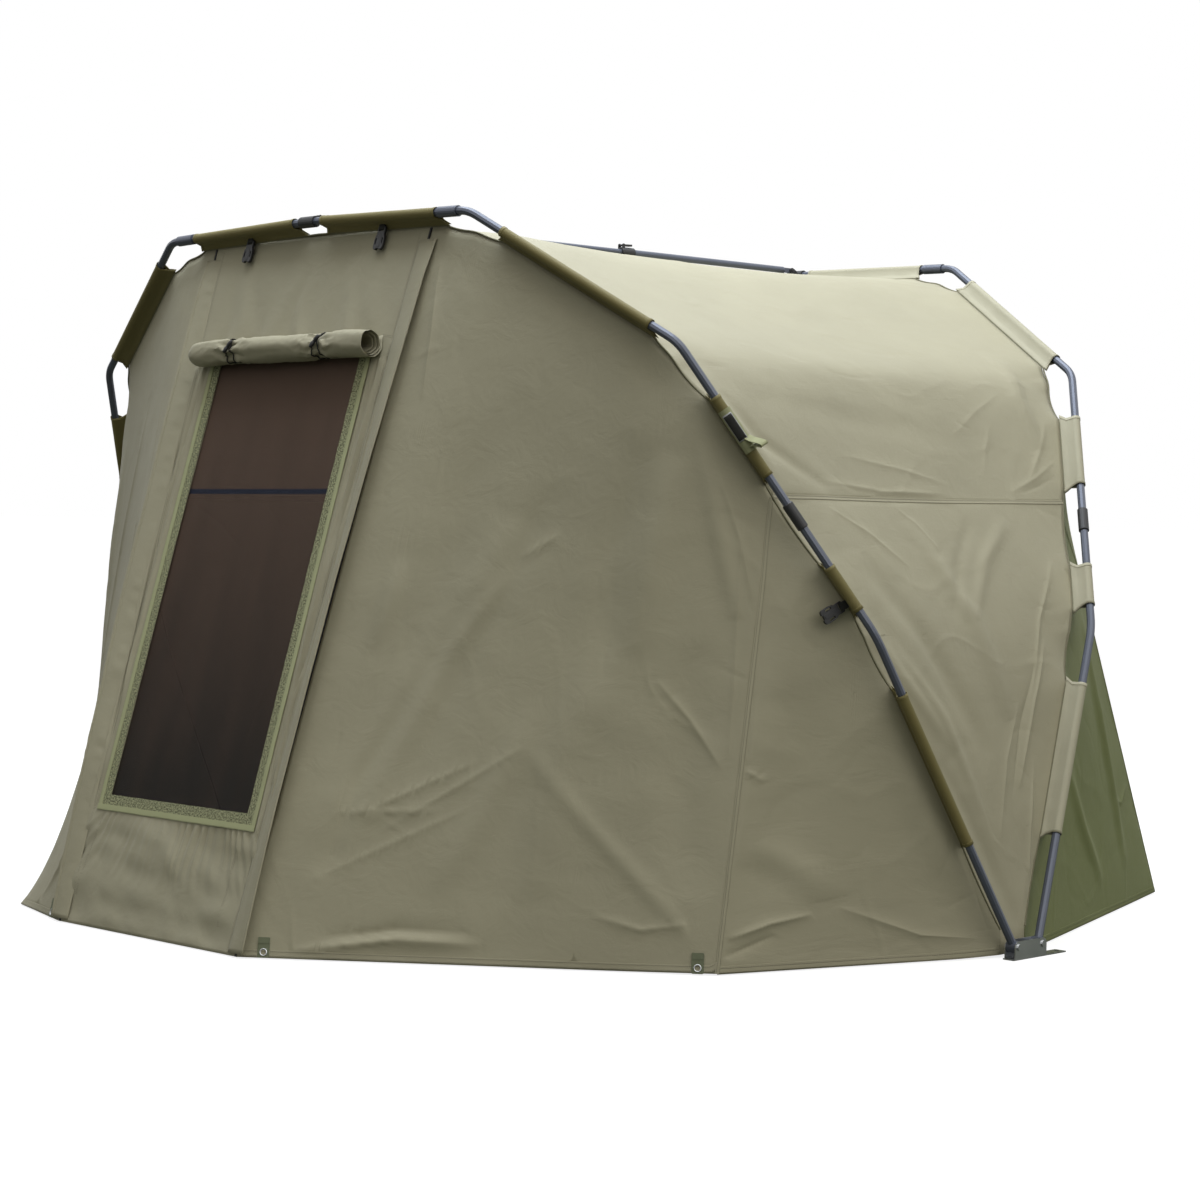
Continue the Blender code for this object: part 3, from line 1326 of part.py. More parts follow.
def tab_on(name, grid, column_reach, parent):
    """A webbing tab with a peg eye, flat on the outside of a wall's hem."""
    foot = grid[-1]
    above = grid[-2]
    left = column_reach
    i = 0
    while i < len(foot) - 2 and (foot[i + 1] - foot[i]).length < left:
        left -= (foot[i + 1] - foot[i]).length
        i += 1
    room = (foot[i + 1] - foot[i]).length - TAB_WIDTH / 2 - TAB_GAP
    left = max(TAB_WIDTH / 2 + TAB_GAP, min(left, room))
    along = (foot[i + 1] - foot[i]).normalized()
    here = foot[i] + along * left
    out = along.cross(above[i] - foot[i]).normalized()
    up = out.cross(along)
    if (here - HEART).dot(out) < 0:
        out = -out
    lift = FABRIC / 2 + TAB_GAP
    place = frame_at(here + out * lift, out, up)
    outline = box_outline(TAB_HEIGHT / 2, TAB_WIDTH / 2, centre=(TAB_HEIGHT / 2, 0))
    hole = circle(TAB_EYE_RADIUS, ROUND_SIDES // 2, centre=(TAB_EYE_RISE, 0))
    return prism(name, outline, TAB_THICKNESS, place, "webbing", parent, holes=[hole])


def hem_length(grid):
    return sum((b - a).length for a, b in zip(grid[-1], grid[-1][1:]))


def peg_tabs(parent):
    for hand in (LEFT, RIGHT):
        side = SIDE_NAMES[hand]
        grid = wall_grid(hand)
        tab_on(f"front_peg_tab_{side}", grid, STORM_FLAP_WIDTH + TAB_WIDTH / 2, parent)
        tab_on(f"side_peg_tab_{side}", grid, hem_length(grid) - TAB_INSET, parent)


def tie_strap(parent):
    """A band round the sleeve of the front right leg, with a folded tail."""
    spot = between(SHOULDER, KNEE, STRAP_SHARE)
    start = step_from(spot, SHOULDER, STRAP_LENGTH / 2)
    finish = step_from(spot, KNEE, STRAP_LENGTH / 2)
    a, b, hang = flap_frame(FRONT, RIGHT, start, finish)
    bore = TUBE_RADIUS + SLEEVE_GAP + SLEEVE_WALL + RUNNING_GAP
    outer = bore + STRAP_WALL
    open_half = radians(75.0)
    band = circle(outer, ROUND_SIDES, start=open_half, sweep=2 * pi - 2 * open_half)
    band += circle(bore, ROUND_SIDES, start=-open_half, sweep=2 * open_half - 2 * pi)
    strap = prism("tie_strap", band, (b - a).length, frame_at(a, b - a, hang), "webbing", parent)
    settle(strap)
    tail_start = (b - a).length - STRAP_TAIL / 2
    tail = box_outline(STRAP_TAIL / 2, STRAP_WALL / 2, centre=(STRAP_WALL / 2 - outer - STRAP_TAIL / 2, 0))
    place = frame_at(a, b - a, hang) @ Matrix.Translation((0, 0, tail_start))
    return joined(strap, prism("tail", tail, STRAP_TAIL / 2, place, "webbing"))


def build():
    clear_scene()
    for hand in (LEFT, RIGHT):
        hub_bracket(hand)
    front = empty("front_frame_pivot", (0, HUB_Y - PIVOT_SPREAD, PIVOT_HEIGHT))
    rib_tubes(REAR, None)
    rib_tubes(FRONT, front)
    centre_joint(REAR, None)
    centre_joint(FRONT, front)
    sleeves(REAR, None)
    sleeves(FRONT, front)
    roof_and_sides()
    rear_walls()
    front_walls(front)
    zips(front)
    peg_tabs(front)
    tie_strap(front)
    door(empty("door_hinge", DOOR_HINGE))
    for hand in (LEFT, RIGHT):
        side = SIDE_NAMES[hand]
        zip_slider(hand, empty(f"zip_start_{side}", edge_place(hand, 0.0, 0.0, EDGE_LENGTH).translation))
        place = buckle_pivot(hand)
        pivot = empty(f"buckle_pivot_{side}", place)
        buckle(f"door_buckle_{side}", place, DOOR_DOWN, (1, 0, 0), "moulding", pivot)
        spot, point, out = leg_buckle_axes(hand)
        pivot = empty(f"leg_buckle_pivot_{side}", spot)
        buckle(f"leg_buckle_{side}", spot, point, point.cross(out), "moulding", pivot)
    ridge_outer(empty("ridge_pivot", RIDGE_REAR))
    ridge_inner(empty("ridge_slide", RIDGE_REAR))
    mouth = RIDGE_LENGTH * (1 - RIDGE_JOINT_SHARE)
    lever(empty("lever_pivot", lever_pin(mouth)))


build()
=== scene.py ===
import json
from math import cos, exp, pi, radians, sin, tan

import bmesh
import bpy
import numpy as np
from bpy.props import FloatProperty, FloatVectorProperty, IntProperty, PointerProperty
from mathutils import Matrix, Vector, kdtree, noise
from mathutils.bvhtree import BVHTree


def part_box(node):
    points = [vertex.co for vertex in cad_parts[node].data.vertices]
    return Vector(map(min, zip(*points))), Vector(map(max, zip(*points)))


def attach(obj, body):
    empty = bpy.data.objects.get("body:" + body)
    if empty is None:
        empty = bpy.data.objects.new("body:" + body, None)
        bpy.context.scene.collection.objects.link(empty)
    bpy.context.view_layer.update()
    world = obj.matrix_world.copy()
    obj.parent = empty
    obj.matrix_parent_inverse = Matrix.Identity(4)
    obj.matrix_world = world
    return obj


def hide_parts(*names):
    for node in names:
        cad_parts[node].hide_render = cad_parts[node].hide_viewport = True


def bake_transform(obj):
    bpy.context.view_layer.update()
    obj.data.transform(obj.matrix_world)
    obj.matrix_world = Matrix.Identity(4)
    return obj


bl_info = {
    "name": "Bivvy tent",
    "version": (1, 0, 0),
    "blender": (4, 5, 0),
    "location": "3D View > Sidebar > Bivvy",
    "description": "Dresses the packed ribs of a bivvy tent with its sewn skin, sleeves, door and fittings",
    "category": "Object",
}

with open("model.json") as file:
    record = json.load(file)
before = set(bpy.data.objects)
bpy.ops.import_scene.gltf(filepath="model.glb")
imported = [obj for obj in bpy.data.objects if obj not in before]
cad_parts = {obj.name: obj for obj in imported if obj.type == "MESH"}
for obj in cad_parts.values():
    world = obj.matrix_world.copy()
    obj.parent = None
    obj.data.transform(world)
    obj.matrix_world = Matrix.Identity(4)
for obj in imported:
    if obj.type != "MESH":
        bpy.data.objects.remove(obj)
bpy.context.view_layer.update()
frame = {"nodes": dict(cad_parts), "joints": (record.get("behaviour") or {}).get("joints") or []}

# The ribs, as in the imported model: places across the tent and rises up each rib's leaning plane
HUB_Y = 0.1042
PIVOT_SPREAD = 0.044
PIVOT_HEIGHT = 0.028
LEAN = radians(27.0)
CROWN = Vector((0.050, 1.804))
ELBOW = Vector((0.550, 1.791))
SHOULDER = Vector((1.045, 1.455))
KNEE = Vector((1.335, 0.767))
FOOT = Vector((1.450, 0.0))
TUBE_RADIUS = 0.0095
SKIN_DROP = 0.036
SKIN_SET_BACK = 0.014
SKIN_FOOT_RISE = 0.030
SKIN_CORNER_RADIUS = 0.080
FRONT = -1
REAR = 1
LEFT = -1
RIGHT = 1
SIDES = {LEFT: "left", RIGHT: "right"}
ENDS = {FRONT: "front", REAR: "rear"}
BODY_OF_END = {FRONT: "front_frame", REAR: "rear_shelter"}
HEART = Vector((0.0, HUB_Y, 0.767))

# Sleeves, as shares of the rib's straight lengths
SLEEVE_SPANS = (
    (CROWN, ELBOW, (0.002, 0.794)),
    (ELBOW, SHOULDER, (0.165, 0.875)),
    (SHOULDER, KNEE, (0.185, 0.455)),
    (SHOULDER, KNEE, (0.765, 0.915)),
    (KNEE, FOOT, (0.185, 0.665)),
)
SLEEVE_GAP = 0.0010
SLEEVE_SLANT = 0.016
SLEEVE_NECK = radians(52.0)
SLEEVE_WIDTH = 0.160
SLEEVE_FLAP_HALF = 0.0014
SLEEVE_STEP = 0.009
HEM_WIDTH = 0.007
HEM_RISE = 0.0009
PIPING_RADIUS = 0.0022

# Door
DOOR_TOP_HALF = 0.395
DOOR_BOTTOM_HALF = 0.333
DOOR_REACH = 1.3135
DOOR_EDGE_GAP = 0.0035
DOOR_HEAD_RISE = 0.0034
WINDOW_HALF = 0.260
WINDOW_SILL = 0.297
WINDOW_HEAD = 1.309
TRIM_WIDTH = 0.038
BINDING_WIDTH = 0.014
ROLL_HEIGHT = 1.328
ROLL_HALF = 0.330
ROLL_RADIUS = 0.0335
TOGGLE_X = 0.162
GATHER_PITCH = 400.0
FLAP_OPENING = 0.0190
FLAP_START = 0.028

# Buckles, tabs and strap
BUCKLE_X = 0.2449
BUCKLE_THICKNESS = 0.0070
BUCKLE_BAR_RADIUS = 0.0020
WEB_HALF = 0.0088
WEB_THICKNESS = 0.0016
WEB_SEAM_SHARE = 0.32
WEB_LIFT = 0.0035
BUCKLE_BEVEL = 0.0009
LEG_BUCKLE_SHARE = 0.880
EYE_RADIUS = 0.0060
EYE_RISE = 0.012
STRAP_SHARE = 0.300
STRAP_LENGTH = 0.105
STRAP_GAP = 0.0016
STRAP_THICKNESS = 0.0015
STRAP_START = radians(-100)
STRAP_WRAP = radians(245)
LABEL_PLACE = 0.044
LABEL_THICKNESS = 0.0010
CORD_RADIUS = 0.0015

# Cloth
CANVAS_THICKNESS = 0.0006
CREASE_HEIGHT = 0.0042
SLACK_HEIGHT = 0.0026
GRAIN_HEIGHT = 0.0005
STITCH_PITCH = 0.0042
STITCH_WIDTH = 0.0009
STITCH_HEIGHT = 0.0006
NET_PITCH = 0.0016
NET_SIZE = (0.54, 1.12)
NET_LAP = 0.008
BAND_HEIGHT = 1.006
BAND_HALF = 0.0062
BAND_COLOUR = (0.013, 0.016, 0.030, 1.0)
HEM_LIFT = 0.010
HEM_TAPE_WIDTH = 0.014
HEM_TAPE_HEIGHT = 0.0008
LINE_WIDTH = 0.008
LINE_HEIGHT = 0.0004
ZIP_PITCH = 0.0028
WELD = 0.00005
SHEET_TURN = radians(50.0)
SEAM_REACH = 0.011
SHARP_CORNER = radians(155.0)
SEAM_WIDTH = 0.011
SEAM_HEIGHT = 0.0011
FOLD_SHARE = 2.0
SHARP_SHARE = 0.85
SHARP_WIDTH = 0.0125

# A wave texture of this scale has one band in a metre
WAVE_SCALE = 0.314

# How deep the skin's edge is cut in after each sleeve, towards the foot
CUT_DEPTHS = (0.018, 0.024, 0.009, 0.015, 0.004)

# Folds in millimetres: points on the panel, then half width and height. The points are (x, z) on the
# panels that face front or rear, and (y, z) on the roof and the side walls.
RIGHT_WALL_FOLDS = (
    ((724, 946), (578, 577), (468, 233), 50, 7),
    ((796, 1033), (658, 687), (577, 343), 35, -4),
    ((651, 805), (501, 389), (457, 173), 22, -5),
    ((454, 311), (657, 323), 7, 2.5),
    ((514, 313), (708, 430), 7, 2.5),
    ((442, 168), (710, 333), 8, 2),
    ((551, 274), (797, 468), 8, 2),
    ((786, 467), (986, 233), (1137, 52), 14, 2.5),
    ((1015, 612), (1076, 529), (1136, 426), 12, 3),
    ((430, 18), (614, 50), (764, 45), 12, 7),
    ((481, 48), (611, 73), (741, 70), 10, -4),
    ((946, 117), (1032, 89), (1116, 103), 9, 2.5),
    ((1015, 1088), (992, 865), (978, 664), 30, 5),
    ((1057, 1120), (1086, 951), (1130, 741), 14, 4),
    ((1081, 1057), (1121, 910), (1150, 783), 10, 3),
    ((955, 1119), (914, 864), (923, 567), 35, -4),
    ((735, 867), (812, 917), 6, 2),
    ((628, 654), (721, 839), 16, 3),
    ((614, 1163), (588, 771), (486, 339), 60, -5),
    ((450, 1521), (470, 1363), (479, 1207), 12, 3),
    ((1122, 952), (1133, 699), (1144, 447), 10, 2.5),
    ((931, 694), (859, 438), (855, 144), 45, 4),
    ((1078, 697), (1070, 403), (1110, 154), 40, -4),
    ((497, 856), (491, 769), (475, 661), 20, 3),
    ((808, 563), (728, 306), (662, 135), 30, 3.5),
)
LEFT_WALL_FOLDS = (
    ((-436, 1401), (-420, 1000), (-380, 500), 18, 4),
    ((-457, 1180), (-400, 697), (-396, 319), 16, -4),
    ((-605, 985), (-560, 528), (-479, 274), 12, 4),
    ((-390, 240), (-420, 117), (-500, 37), 10, 5),
    ((-678, 1238), (-811, 831), (-937, 463), 12, 3),
    ((-900, 1150), (-950, 800), (-1020, 400), 30, 4),
    ((-700, 600), (-640, 350), (-560, 120), 40, 5),
)
CORNER_FOLDS = (
    ((1174, 73), (1209, 102), (1247, 118), 10, 6),
    ((1174, 36), (1216, 78), 9, -4),
    ((1188, 279), (1232, 212), (1261, 146), 20, 3),
    ((1267, 132), (1341, 60), (1390, 45), 12, 4),
    ((1379, 241), (1392, 120), (1402, 60), 12, -3),
    ((1182, 699), (1181, 446), (1181, 217), 30, 4),
    ((1238, 614), (1226, 360), (1216, 151), 30, -3),
    ((1324, 441), (1358, 242), (1400, 62), 16, 3),
    ((1165, 430), (1176, 415), (1190, 400), 8, 2.5),
    ((1202, 869), (1199, 699), (1201, 572), 18, 3),
)
SIDE_FOLDS = (
    ((375, 685), (289, 552), (190, 358), 11, 8),
    ((335, 659), (235, 509), (160, 336), 10, -5),
    ((496, 867), (376, 731), (274, 552), 10, 5),
    ((259, 419), (211, 266), (185, 150), 9, 5),
    ((237, 554), (157, 424), (98, 252), 12, 5),
    ((-268, 771), (-165, 612), (-25, 453), 20, 4),
    ((-242, 983), (-125, 923), (-22, 848), 10, 3),
    ((2, 985), (54, 946), (106, 886), 8, 2.5),
    ((-196, 868), (-58, 695), (99, 427), 30, -4),
    ((25, 957), (138, 734), (191, 511), 28, 4),
    ((-188, 698), (-43, 521), (67, 276), 16, 3),
    ((-79, 437), (40, 235), (130, 54), 20, -3),
    ((387, 960), (257, 868), (138, 734), 14, 3),
    ((260, 959), (161, 868), (66, 736), 14, -2),
)
ROOF_FOLDS = (
    ((306, 1150), (430, 1216), (551, 1266), 10, 2),
    ((445, 1024), (558, 1061), (647, 1102), 10, 3.5),
    ((487, 1024), (561, 1042), (633, 1068), 7, -2),
    ((476, 1198), (414, 1125), (369, 1053), 8, 2),
    ((681, 1205), (614, 1130), (534, 1056), 10, 4),
    ((-229, 1041), (-24, 1019), (192, 1017), 10, 3),
    ((-123, 1099), (77, 1070), (239, 1037), 10, 2.5),
    ((-409, 1221), (-3, 1182), (336, 1146), 30, -1.2),
    ((-425, 1343), (31, 1298), (498, 1296), 35, 1.2),
    ((-536, 1358), (-487, 1207), (-378, 1039), 18, 4),
    ((-541, 1291), (-397, 1124), (-206, 1020), 15, -3),
    ((674, 1355), (614, 1252), (614, 1130), 20, 4),
)
REAR_FOLDS = (
    ((-900, 900), (-950, 500), (-1000, 100), 30, 6),
    ((-600, 1300), (-750, 800), (-900, 200), 45, 5),
    ((600, 1300), (750, 800), (900, 200), 45, 5),
    ((900, 900), (950, 500), (1000, 100), 30, -4),
    ((-500, 200), (0, 120), (600, 160), 20, 5),
    ((-200, 1500), (-300, 1000), (-250, 400), 60, -6),
    ((250, 1500), (300, 1000), (200, 400), 60, 6),
)
REAR_SIDE_FOLDS = (
    ((620, 750), (800, 400), (950, 100), 20, 6),
    ((450, 400), (600, 220), (750, 80), 18, 5),
    ((880, 270), (930, 260), (990, 300), 10, 5),
    ((950, 700), (1000, 500), (1080, 200), 30, -4),
)


def colour(name, of, *default):
    """A colour that a user can change."""
    return FloatVectorProperty(
        name=name, description=f"Colour of {of}", default=default, subtype="COLOR", min=0.0, max=1.0
    )


class BivvySettings(bpy.types.PropertyGroup):
    """Sizes and colours that change the tent's look and not its frame."""

    canvas_colour: colour("Canvas", "the front, the roof and the sides", 0.325, 0.303, 0.214)
    rear_colour: colour("Rear canvas", "the back wall's cloth", 0.165, 0.185, 0.075)
    # Painted shade: the front sleeves are the same cloth as the rear ones, given a darker, browner colour
    # because they lie in shade
    shaded_sleeve_colour: colour("Front sleeves", "the sleeves round the front rib", 0.158, 0.134, 0.050)
    rear_sleeve_colour: colour("Rear sleeves", "the sleeves round the rear rib", 0.345, 0.325, 0.235)
    piping_colour: colour("Piping", "the piping along the skin's edges", 0.150, 0.140, 0.085)
    hem_colour: colour("Netting hem", "the netting's hem inside the tape", 0.235, 0.240, 0.140)
    tab_colour: colour("Peg tabs", "the webbing tabs that the pegs hold", 0.150, 0.165, 0.105)
    trim_colour: colour("Trim", "the tape round the window", 0.375, 0.388, 0.220)
    strap_colour: colour("Strap", "the tie strap", 0.270, 0.275, 0.155)
    mesh_colour: colour("Window mesh", "the insect mesh", 0.040, 0.032, 0.026)
    tube_colour: colour("Ribs", "the rib tubes", 0.085, 0.095, 0.125)
    fold_scale: FloatProperty(
        name="Fold height", description="Height of the folds against those measured", default=1.0,
        min=0.0, max=3.0, subtype="FACTOR",
    )
    thread: FloatProperty(
        name="Thread spacing", description="Distance between two threads of the canvas", default=0.0009,
        min=0.0002, max=0.005, unit="LENGTH",
    )
    cloth_levels: IntProperty(
        name="Cloth detail", description="Subdivision steps of each sewn panel", default=4, min=3, max=5
    )


def settings():
    return bpy.context.scene.bivvy


def stray(x, y, z):
    """Smooth noise at a place."""
    return noise.noise(Vector((x, y, z)))


def within(share):
    """A share held between 0 and 1."""
    return max(0.0, min(1.0, share))


def smooth(share):
    """A step with rounded ends."""
    return share * share * (3 - 2 * share)


def tree_of(spots):
    """A tree that finds the nearest of some points."""
    tree = kdtree.KDTree(len(spots))
    for i, spot in enumerate(spots):
        tree.insert(spot, i)
    tree.balance()
    return tree


def shares_of(count):
    """Even shares from 0 to 1."""
    return [k / count for k in range(count + 1)]


def spokes(first, second, count):
    """Directions all round, from two that are square to each other."""
    turns = [2 * pi * k / count for k in range(count)]
    return [first * cos(turn) + second * sin(turn) for turn in turns]


def heading(path, i):
    """The way that a path takes at one of its points."""
    return (path[min(i + 1, len(path) - 1)] - path[max(i - 1, 0)]).normalized()


# Places on the ribs and on the skin's edge
def rib_axes(end):
    """A rib's pin line, the way up its plane, and the way from it towards the tent's middle."""
    base = Vector((0, HUB_Y + end * PIVOT_SPREAD, PIVOT_HEIGHT))
    up = Vector((0, end * sin(LEAN), cos(LEAN)))
    middle = Vector((0, -end * cos(LEAN), sin(LEAN)))
    return base, up, middle


def on_rib(end, x, rise, set_back=0.0):
    base, up, middle = rib_axes(end)
    return base + Vector((x, 0, 0)) + up * rise + middle * set_back


def between(a, b, share):
    return Vector(a) + (Vector(b) - Vector(a)) * share


def rounded(points, radius, steps=6):
    """A path with an arc at each inner corner."""
    path = [Vector(points[0])]
    for before, corner, after in zip(points, points[1:], points[2:]):
        into = (corner - before).normalized()
        out = (after - corner).normalized()
        turn = into.angle(out)
        start = corner - into * radius * tan(turn / 2)
        finish = corner + out * radius * tan(turn / 2)
        centre = corner + (out - into).normalized() * (radius / cos(turn / 2))
        for share in shares_of(steps):
            spoke = (start - centre) * sin((1 - share) * turn) + (finish - centre) * sin(share * turn)
            path.append(centre + spoke / sin(turn))
    path.append(Vector(points[-1]))
    return path


def skin_corner(a, corner, b):
    along = ((corner - a).normalized() + (b - corner).normalized()).normalized()
    inward = Vector((along.y, -along.x))
    return corner + inward * (SKIN_DROP / cos((corner - a).angle(b - corner) / 2))


def skin_edge():
    """The right half of the skin's edge, from the crown to the foot, as (x, rise)."""
    corners = [
        Vector((0, CROWN.y - SKIN_DROP)),
        skin_corner(CROWN, ELBOW, SHOULDER),
        skin_corner(ELBOW, SHOULDER, KNEE),
        skin_corner(SHOULDER, KNEE, FOOT),
        Vector((FOOT.x - SKIN_DROP, SKIN_FOOT_RISE)),
    ]
    return rounded(corners, SKIN_CORNER_RADIUS)


def spaced(points, step):
    """A path's points at even distances."""
    points = [Vector(p) for p in points]
    reaches = [0.0]
    for a, b in zip(points, points[1:]):
        reaches.append(reaches[-1] + (b - a).length)
    count = max(2, round(reaches[-1] / step))
    made = []
    i = 0
    for k in range(count + 1):
        reach = reaches[-1] * k / count
        while i < len(points) - 2 and reaches[i + 1] < reach:
            i += 1
        span = reaches[i + 1] - reaches[i]
        made.append(points[i].lerp(points[i + 1], (reach - reaches[i]) / span if span else 0.0))
    return made


# Making pieces
def running(points):
    """The distance gone along a row of points at each of them."""
    reaches = [0.0]
    for a, b in zip(points, points[1:]):
        reaches.append(reaches[-1] + (Vector(b) - Vector(a)).length)
    return reaches


def loft(rows, closed=False, caps=False, bm=None):
    """A skin drawn out row by row from a first line of points, with a UV map in metres."""
    bm = bm or bmesh.new()
    layer = bm.loops.layers.uv.get("cloth") or bm.loops.layers.uv.new("cloth")
    known = set(bm.faces)
    middle = len(rows[0]) // 2
    lengths = running([row[middle] for row in rows])
    across = running(rows[0])
    line = [bm.verts.new(point) for point in rows[0]]
    places = {vert: (0.0, v) for vert, v in zip(line, across)}
    edges = [bm.edges.new(pair) for pair in zip(line, line[1:])]
    if closed:
        edges.append(bm.edges.new((line[-1], line[0])))
    first = list(edges)
    for row, u in zip(rows[1:], lengths[1:]):
        grown = bmesh.ops.extrude_edge_only(bm, edges=edges)["geom"]
        fresh = {}
        for item in grown:
            if isinstance(item, bmesh.types.BMVert):
                fresh[item.co.to_tuple()] = item
        line = [fresh[vert.co.to_tuple()] for vert in line]
        ends = set(line)
        edges = [
            item
            for item in grown
            if isinstance(item, bmesh.types.BMEdge) and item.verts[0] in ends and item.verts[1] in ends
        ]
        for vert, point, v in zip(line, row, across):
            vert.co = point
            places[vert] = (u, v)
    if caps:
        bmesh.ops.contextual_create(bm, geom=first)
        bmesh.ops.contextual_create(bm, geom=edges)
    for face in bm.faces:
        if face not in known:
            for corner in face.loops:
                corner[layer].uv = places[corner.vert]
    return bm


def tube(points, radius, sides=10, caps=True, bm=None, hint=(0, 0, 1)):
    """A round tube along a path."""
    points = [Vector(p) for p in points]
    rows = []
    hint = Vector(hint)
    for i, point in enumerate(points):
        along = heading(points, i)
        across = along.cross(hint)
        if across.length < 0.05:
            across = along.cross(Vector((0.3, 1, 0.2)))
        across.normalize()
        hint = across.cross(along).normalized()
        rows.append([point + spoke * radius for spoke in spokes(across, hint, sides)])
    return loft(rows, closed=True, caps=caps, bm=bm)


def ring(matrix, radius, thickness, sides=10, steps=28):
    """A closed round ring in a plane."""
    bm = bmesh.new()
    made = bmesh.ops.create_circle(bm, segments=sides, radius=thickness)["verts"]
    bmesh.ops.rotate(bm, verts=made, cent=(0, 0, 0), matrix=Matrix.Rotation(pi / 2, 3, "X"))
    bmesh.ops.translate(bm, verts=made, vec=(radius, 0, 0))
    whole = [*bm.verts, *bm.edges]
    bmesh.ops.spin(bm, geom=whole, cent=(0, 0, 0), axis=(0, 0, 1), angle=2 * pi, steps=steps, use_merge=True)
    bmesh.ops.transform(bm, matrix=matrix, verts=bm.verts)
    return bm


def piece(name, bm, look, body, nodes=(), smooth=True, outward=True):
    """A finished object from a bmesh, riding on a body and standing for its CAD nodes."""
    if outward:
        bmesh.ops.recalc_face_normals(bm, faces=bm.faces)
    mesh = bpy.data.meshes.new(name)
    bm.to_mesh(mesh)
    bm.free()
    mesh.materials.append(finish(look))
    if smooth:
        mesh.shade_smooth()
        mesh.set_sharp_from_angle(angle=radians(50.0))
    thing = bpy.data.objects.new(name, mesh)
    bpy.context.collection.objects.link(thing)
    if body:
        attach(thing, body)
    if nodes:
        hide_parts(*nodes)
    return thing


def applied(thing):
    """Turns an object's modifiers into its mesh."""
    bpy.context.view_layer.update()
    seen = thing.evaluated_get(bpy.context.evaluated_depsgraph_get())
    mesh = bpy.data.meshes.new_from_object(seen)
    thing.modifiers.clear()
    thing.data = mesh
    return thing


def subdivided(thing, levels):
    step = thing.modifiers.new("rounding", "SUBSURF")
    step.levels = levels
    step.render_levels = levels
    step.boundary_smooth = "PRESERVE_CORNERS"
    return applied(thing)


def thickened(thing, thickness, offset=-1.0):
    step = thing.modifiers.new("cloth", "SOLIDIFY")
    step.thickness = thickness
    step.offset = offset
    return thing


def bevelled(thing, width):
    step = thing.modifiers.new("edge", "BEVEL")
    step.width = width
    step.segments = 2
    step.limit_method = "ANGLE"
    step.angle_limit = radians(35.0)
    return thing


def listed(items, key, width=1, kind=float):
    """One value of all of a mesh's vertices, edges or corners, as an array."""
    values = np.empty(len(items) * width, dtype=kind)
    items.foreach_get(key, values)
    return values.reshape(-1, width) if width > 1 else values


def moved(mesh, points):
    """Puts a mesh's vertices in their new places."""
    mesh.vertices.foreach_set("co", points.astype(np.float32).ravel())
    mesh.update()


def lay_pairs(thing, pairs):
    """A UV map in metres, from a pair of distances for each vertex."""
    mesh = thing.data
    corners = listed(mesh.loops, "vertex_index", kind=np.int64)
    layer = mesh.uv_layers.get("cloth") or mesh.uv_layers.new(name="cloth")
    layer.uv.foreach_set("vector", pairs[corners].astype(np.float32).ravel())


def lay_uv(thing, *ways):
    """A UV map in metres, from two directions on the piece."""
    points = listed(thing.data.vertices, "co", 3)
    lay_pairs(thing, np.stack([points @ np.array(way) for way in ways], axis=1))


def in_metres(folds):
    """A table's folds, from millimetres to metres."""
    for *line, width, height in folds:
        yield *[(x / 1000, y / 1000) for x, y in line], width / 1000, height / 1000


def fold_reach(flat, line):
    """How far each point lies from a fold's line, and how far along the line its nearest place is."""
    line = np.array(line)
    lengths = np.hypot(*np.diff(line, axis=0).T)
    nearest = np.full(len(flat), 1e9)
    share = np.zeros(len(flat))
    done = 0.0
    for a, b, length in zip(line, line[1:], lengths):
        along = np.clip((flat - a) @ (b - a) / length**2, 0.0, 1.0)
        away = np.hypot(*(flat - a - along[:, None] * (b - a)).T)
        closer = away < nearest
        nearest[closer] = away[closer]
        share[closer] = (done + along[closer] * length) / lengths.sum()
        done += length
    return nearest, share


def fold_height(flat, folds, sharp=1.0):
    """How far the folds lift each point of a panel, whose place on the panel is given."""
    total = np.zeros(len(flat))
    for *line, width, height in in_metres(folds):
        nearest, share = fold_reach(flat, line)
        if width < SHARP_WIDTH:
            shape = SHARP_SHARE * sharp * np.exp(-nearest / (width * 0.7))
        else:
            shape = FOLD_SHARE * np.exp(-((nearest / width) ** 2))
        total += height * shape * np.sin(pi * share) ** 0.7
    return total


def refined(thing, axes, folds):
    """Cuts the cloth finer along its sharp creases."""
    bm = bmesh.new()
    bm.from_mesh(thing.data)
    flat = np.array([vert.co for vert in bm.verts])[:, axes]
    close = np.zeros(len(flat), dtype=bool)
    for *line, width, _ in in_metres(folds):
        if width < SHARP_WIDTH:
            close |= fold_reach(flat, line)[0] < width * 2.2
    edges = [edge for edge in bm.edges if all(close[vert.index] for vert in edge.verts)]
    if edges:
        bmesh.ops.subdivide_edges(bm, edges=edges, cuts=2, use_grid_fill=True)
    bm.to_mesh(thing.data)
    bm.free()


def border_distance(mesh, points):
    """How far each point lies from the panel's sewn border."""
    uses = np.zeros(len(mesh.edges), dtype=int)
    np.add.at(uses, listed(mesh.loops, "edge_index", kind=np.int64), 1)
    ends = listed(mesh.edges, "vertices", 2, np.int64)
    tree = tree_of(points[np.unique(ends[uses == 1])])
    return np.array([tree.find(point)[2] for point in points])


def slack_of(points, seed, broad, fine, crease):
    """The cloth's own unevenness at each point: broad slack, finer slack, and thin creases from packing."""
    shift = Vector((seed, seed * 0.7, -seed))
    values = []
    for point in points:
        spot = Vector(point) + shift
        line = noise.noise(spot * 3.7 + Vector((5, 1, 3))) / 0.030
        other = noise.noise(spot * 5.1 + Vector((1, 8, 2))) / 0.034
        lie = noise.noise(spot * 2.6) * broad + noise.noise(spot * 8.5) * fine
        values.append(lie + crease * (exp(-line * line) - 0.8 * exp(-other * other)))
    return np.array(values)


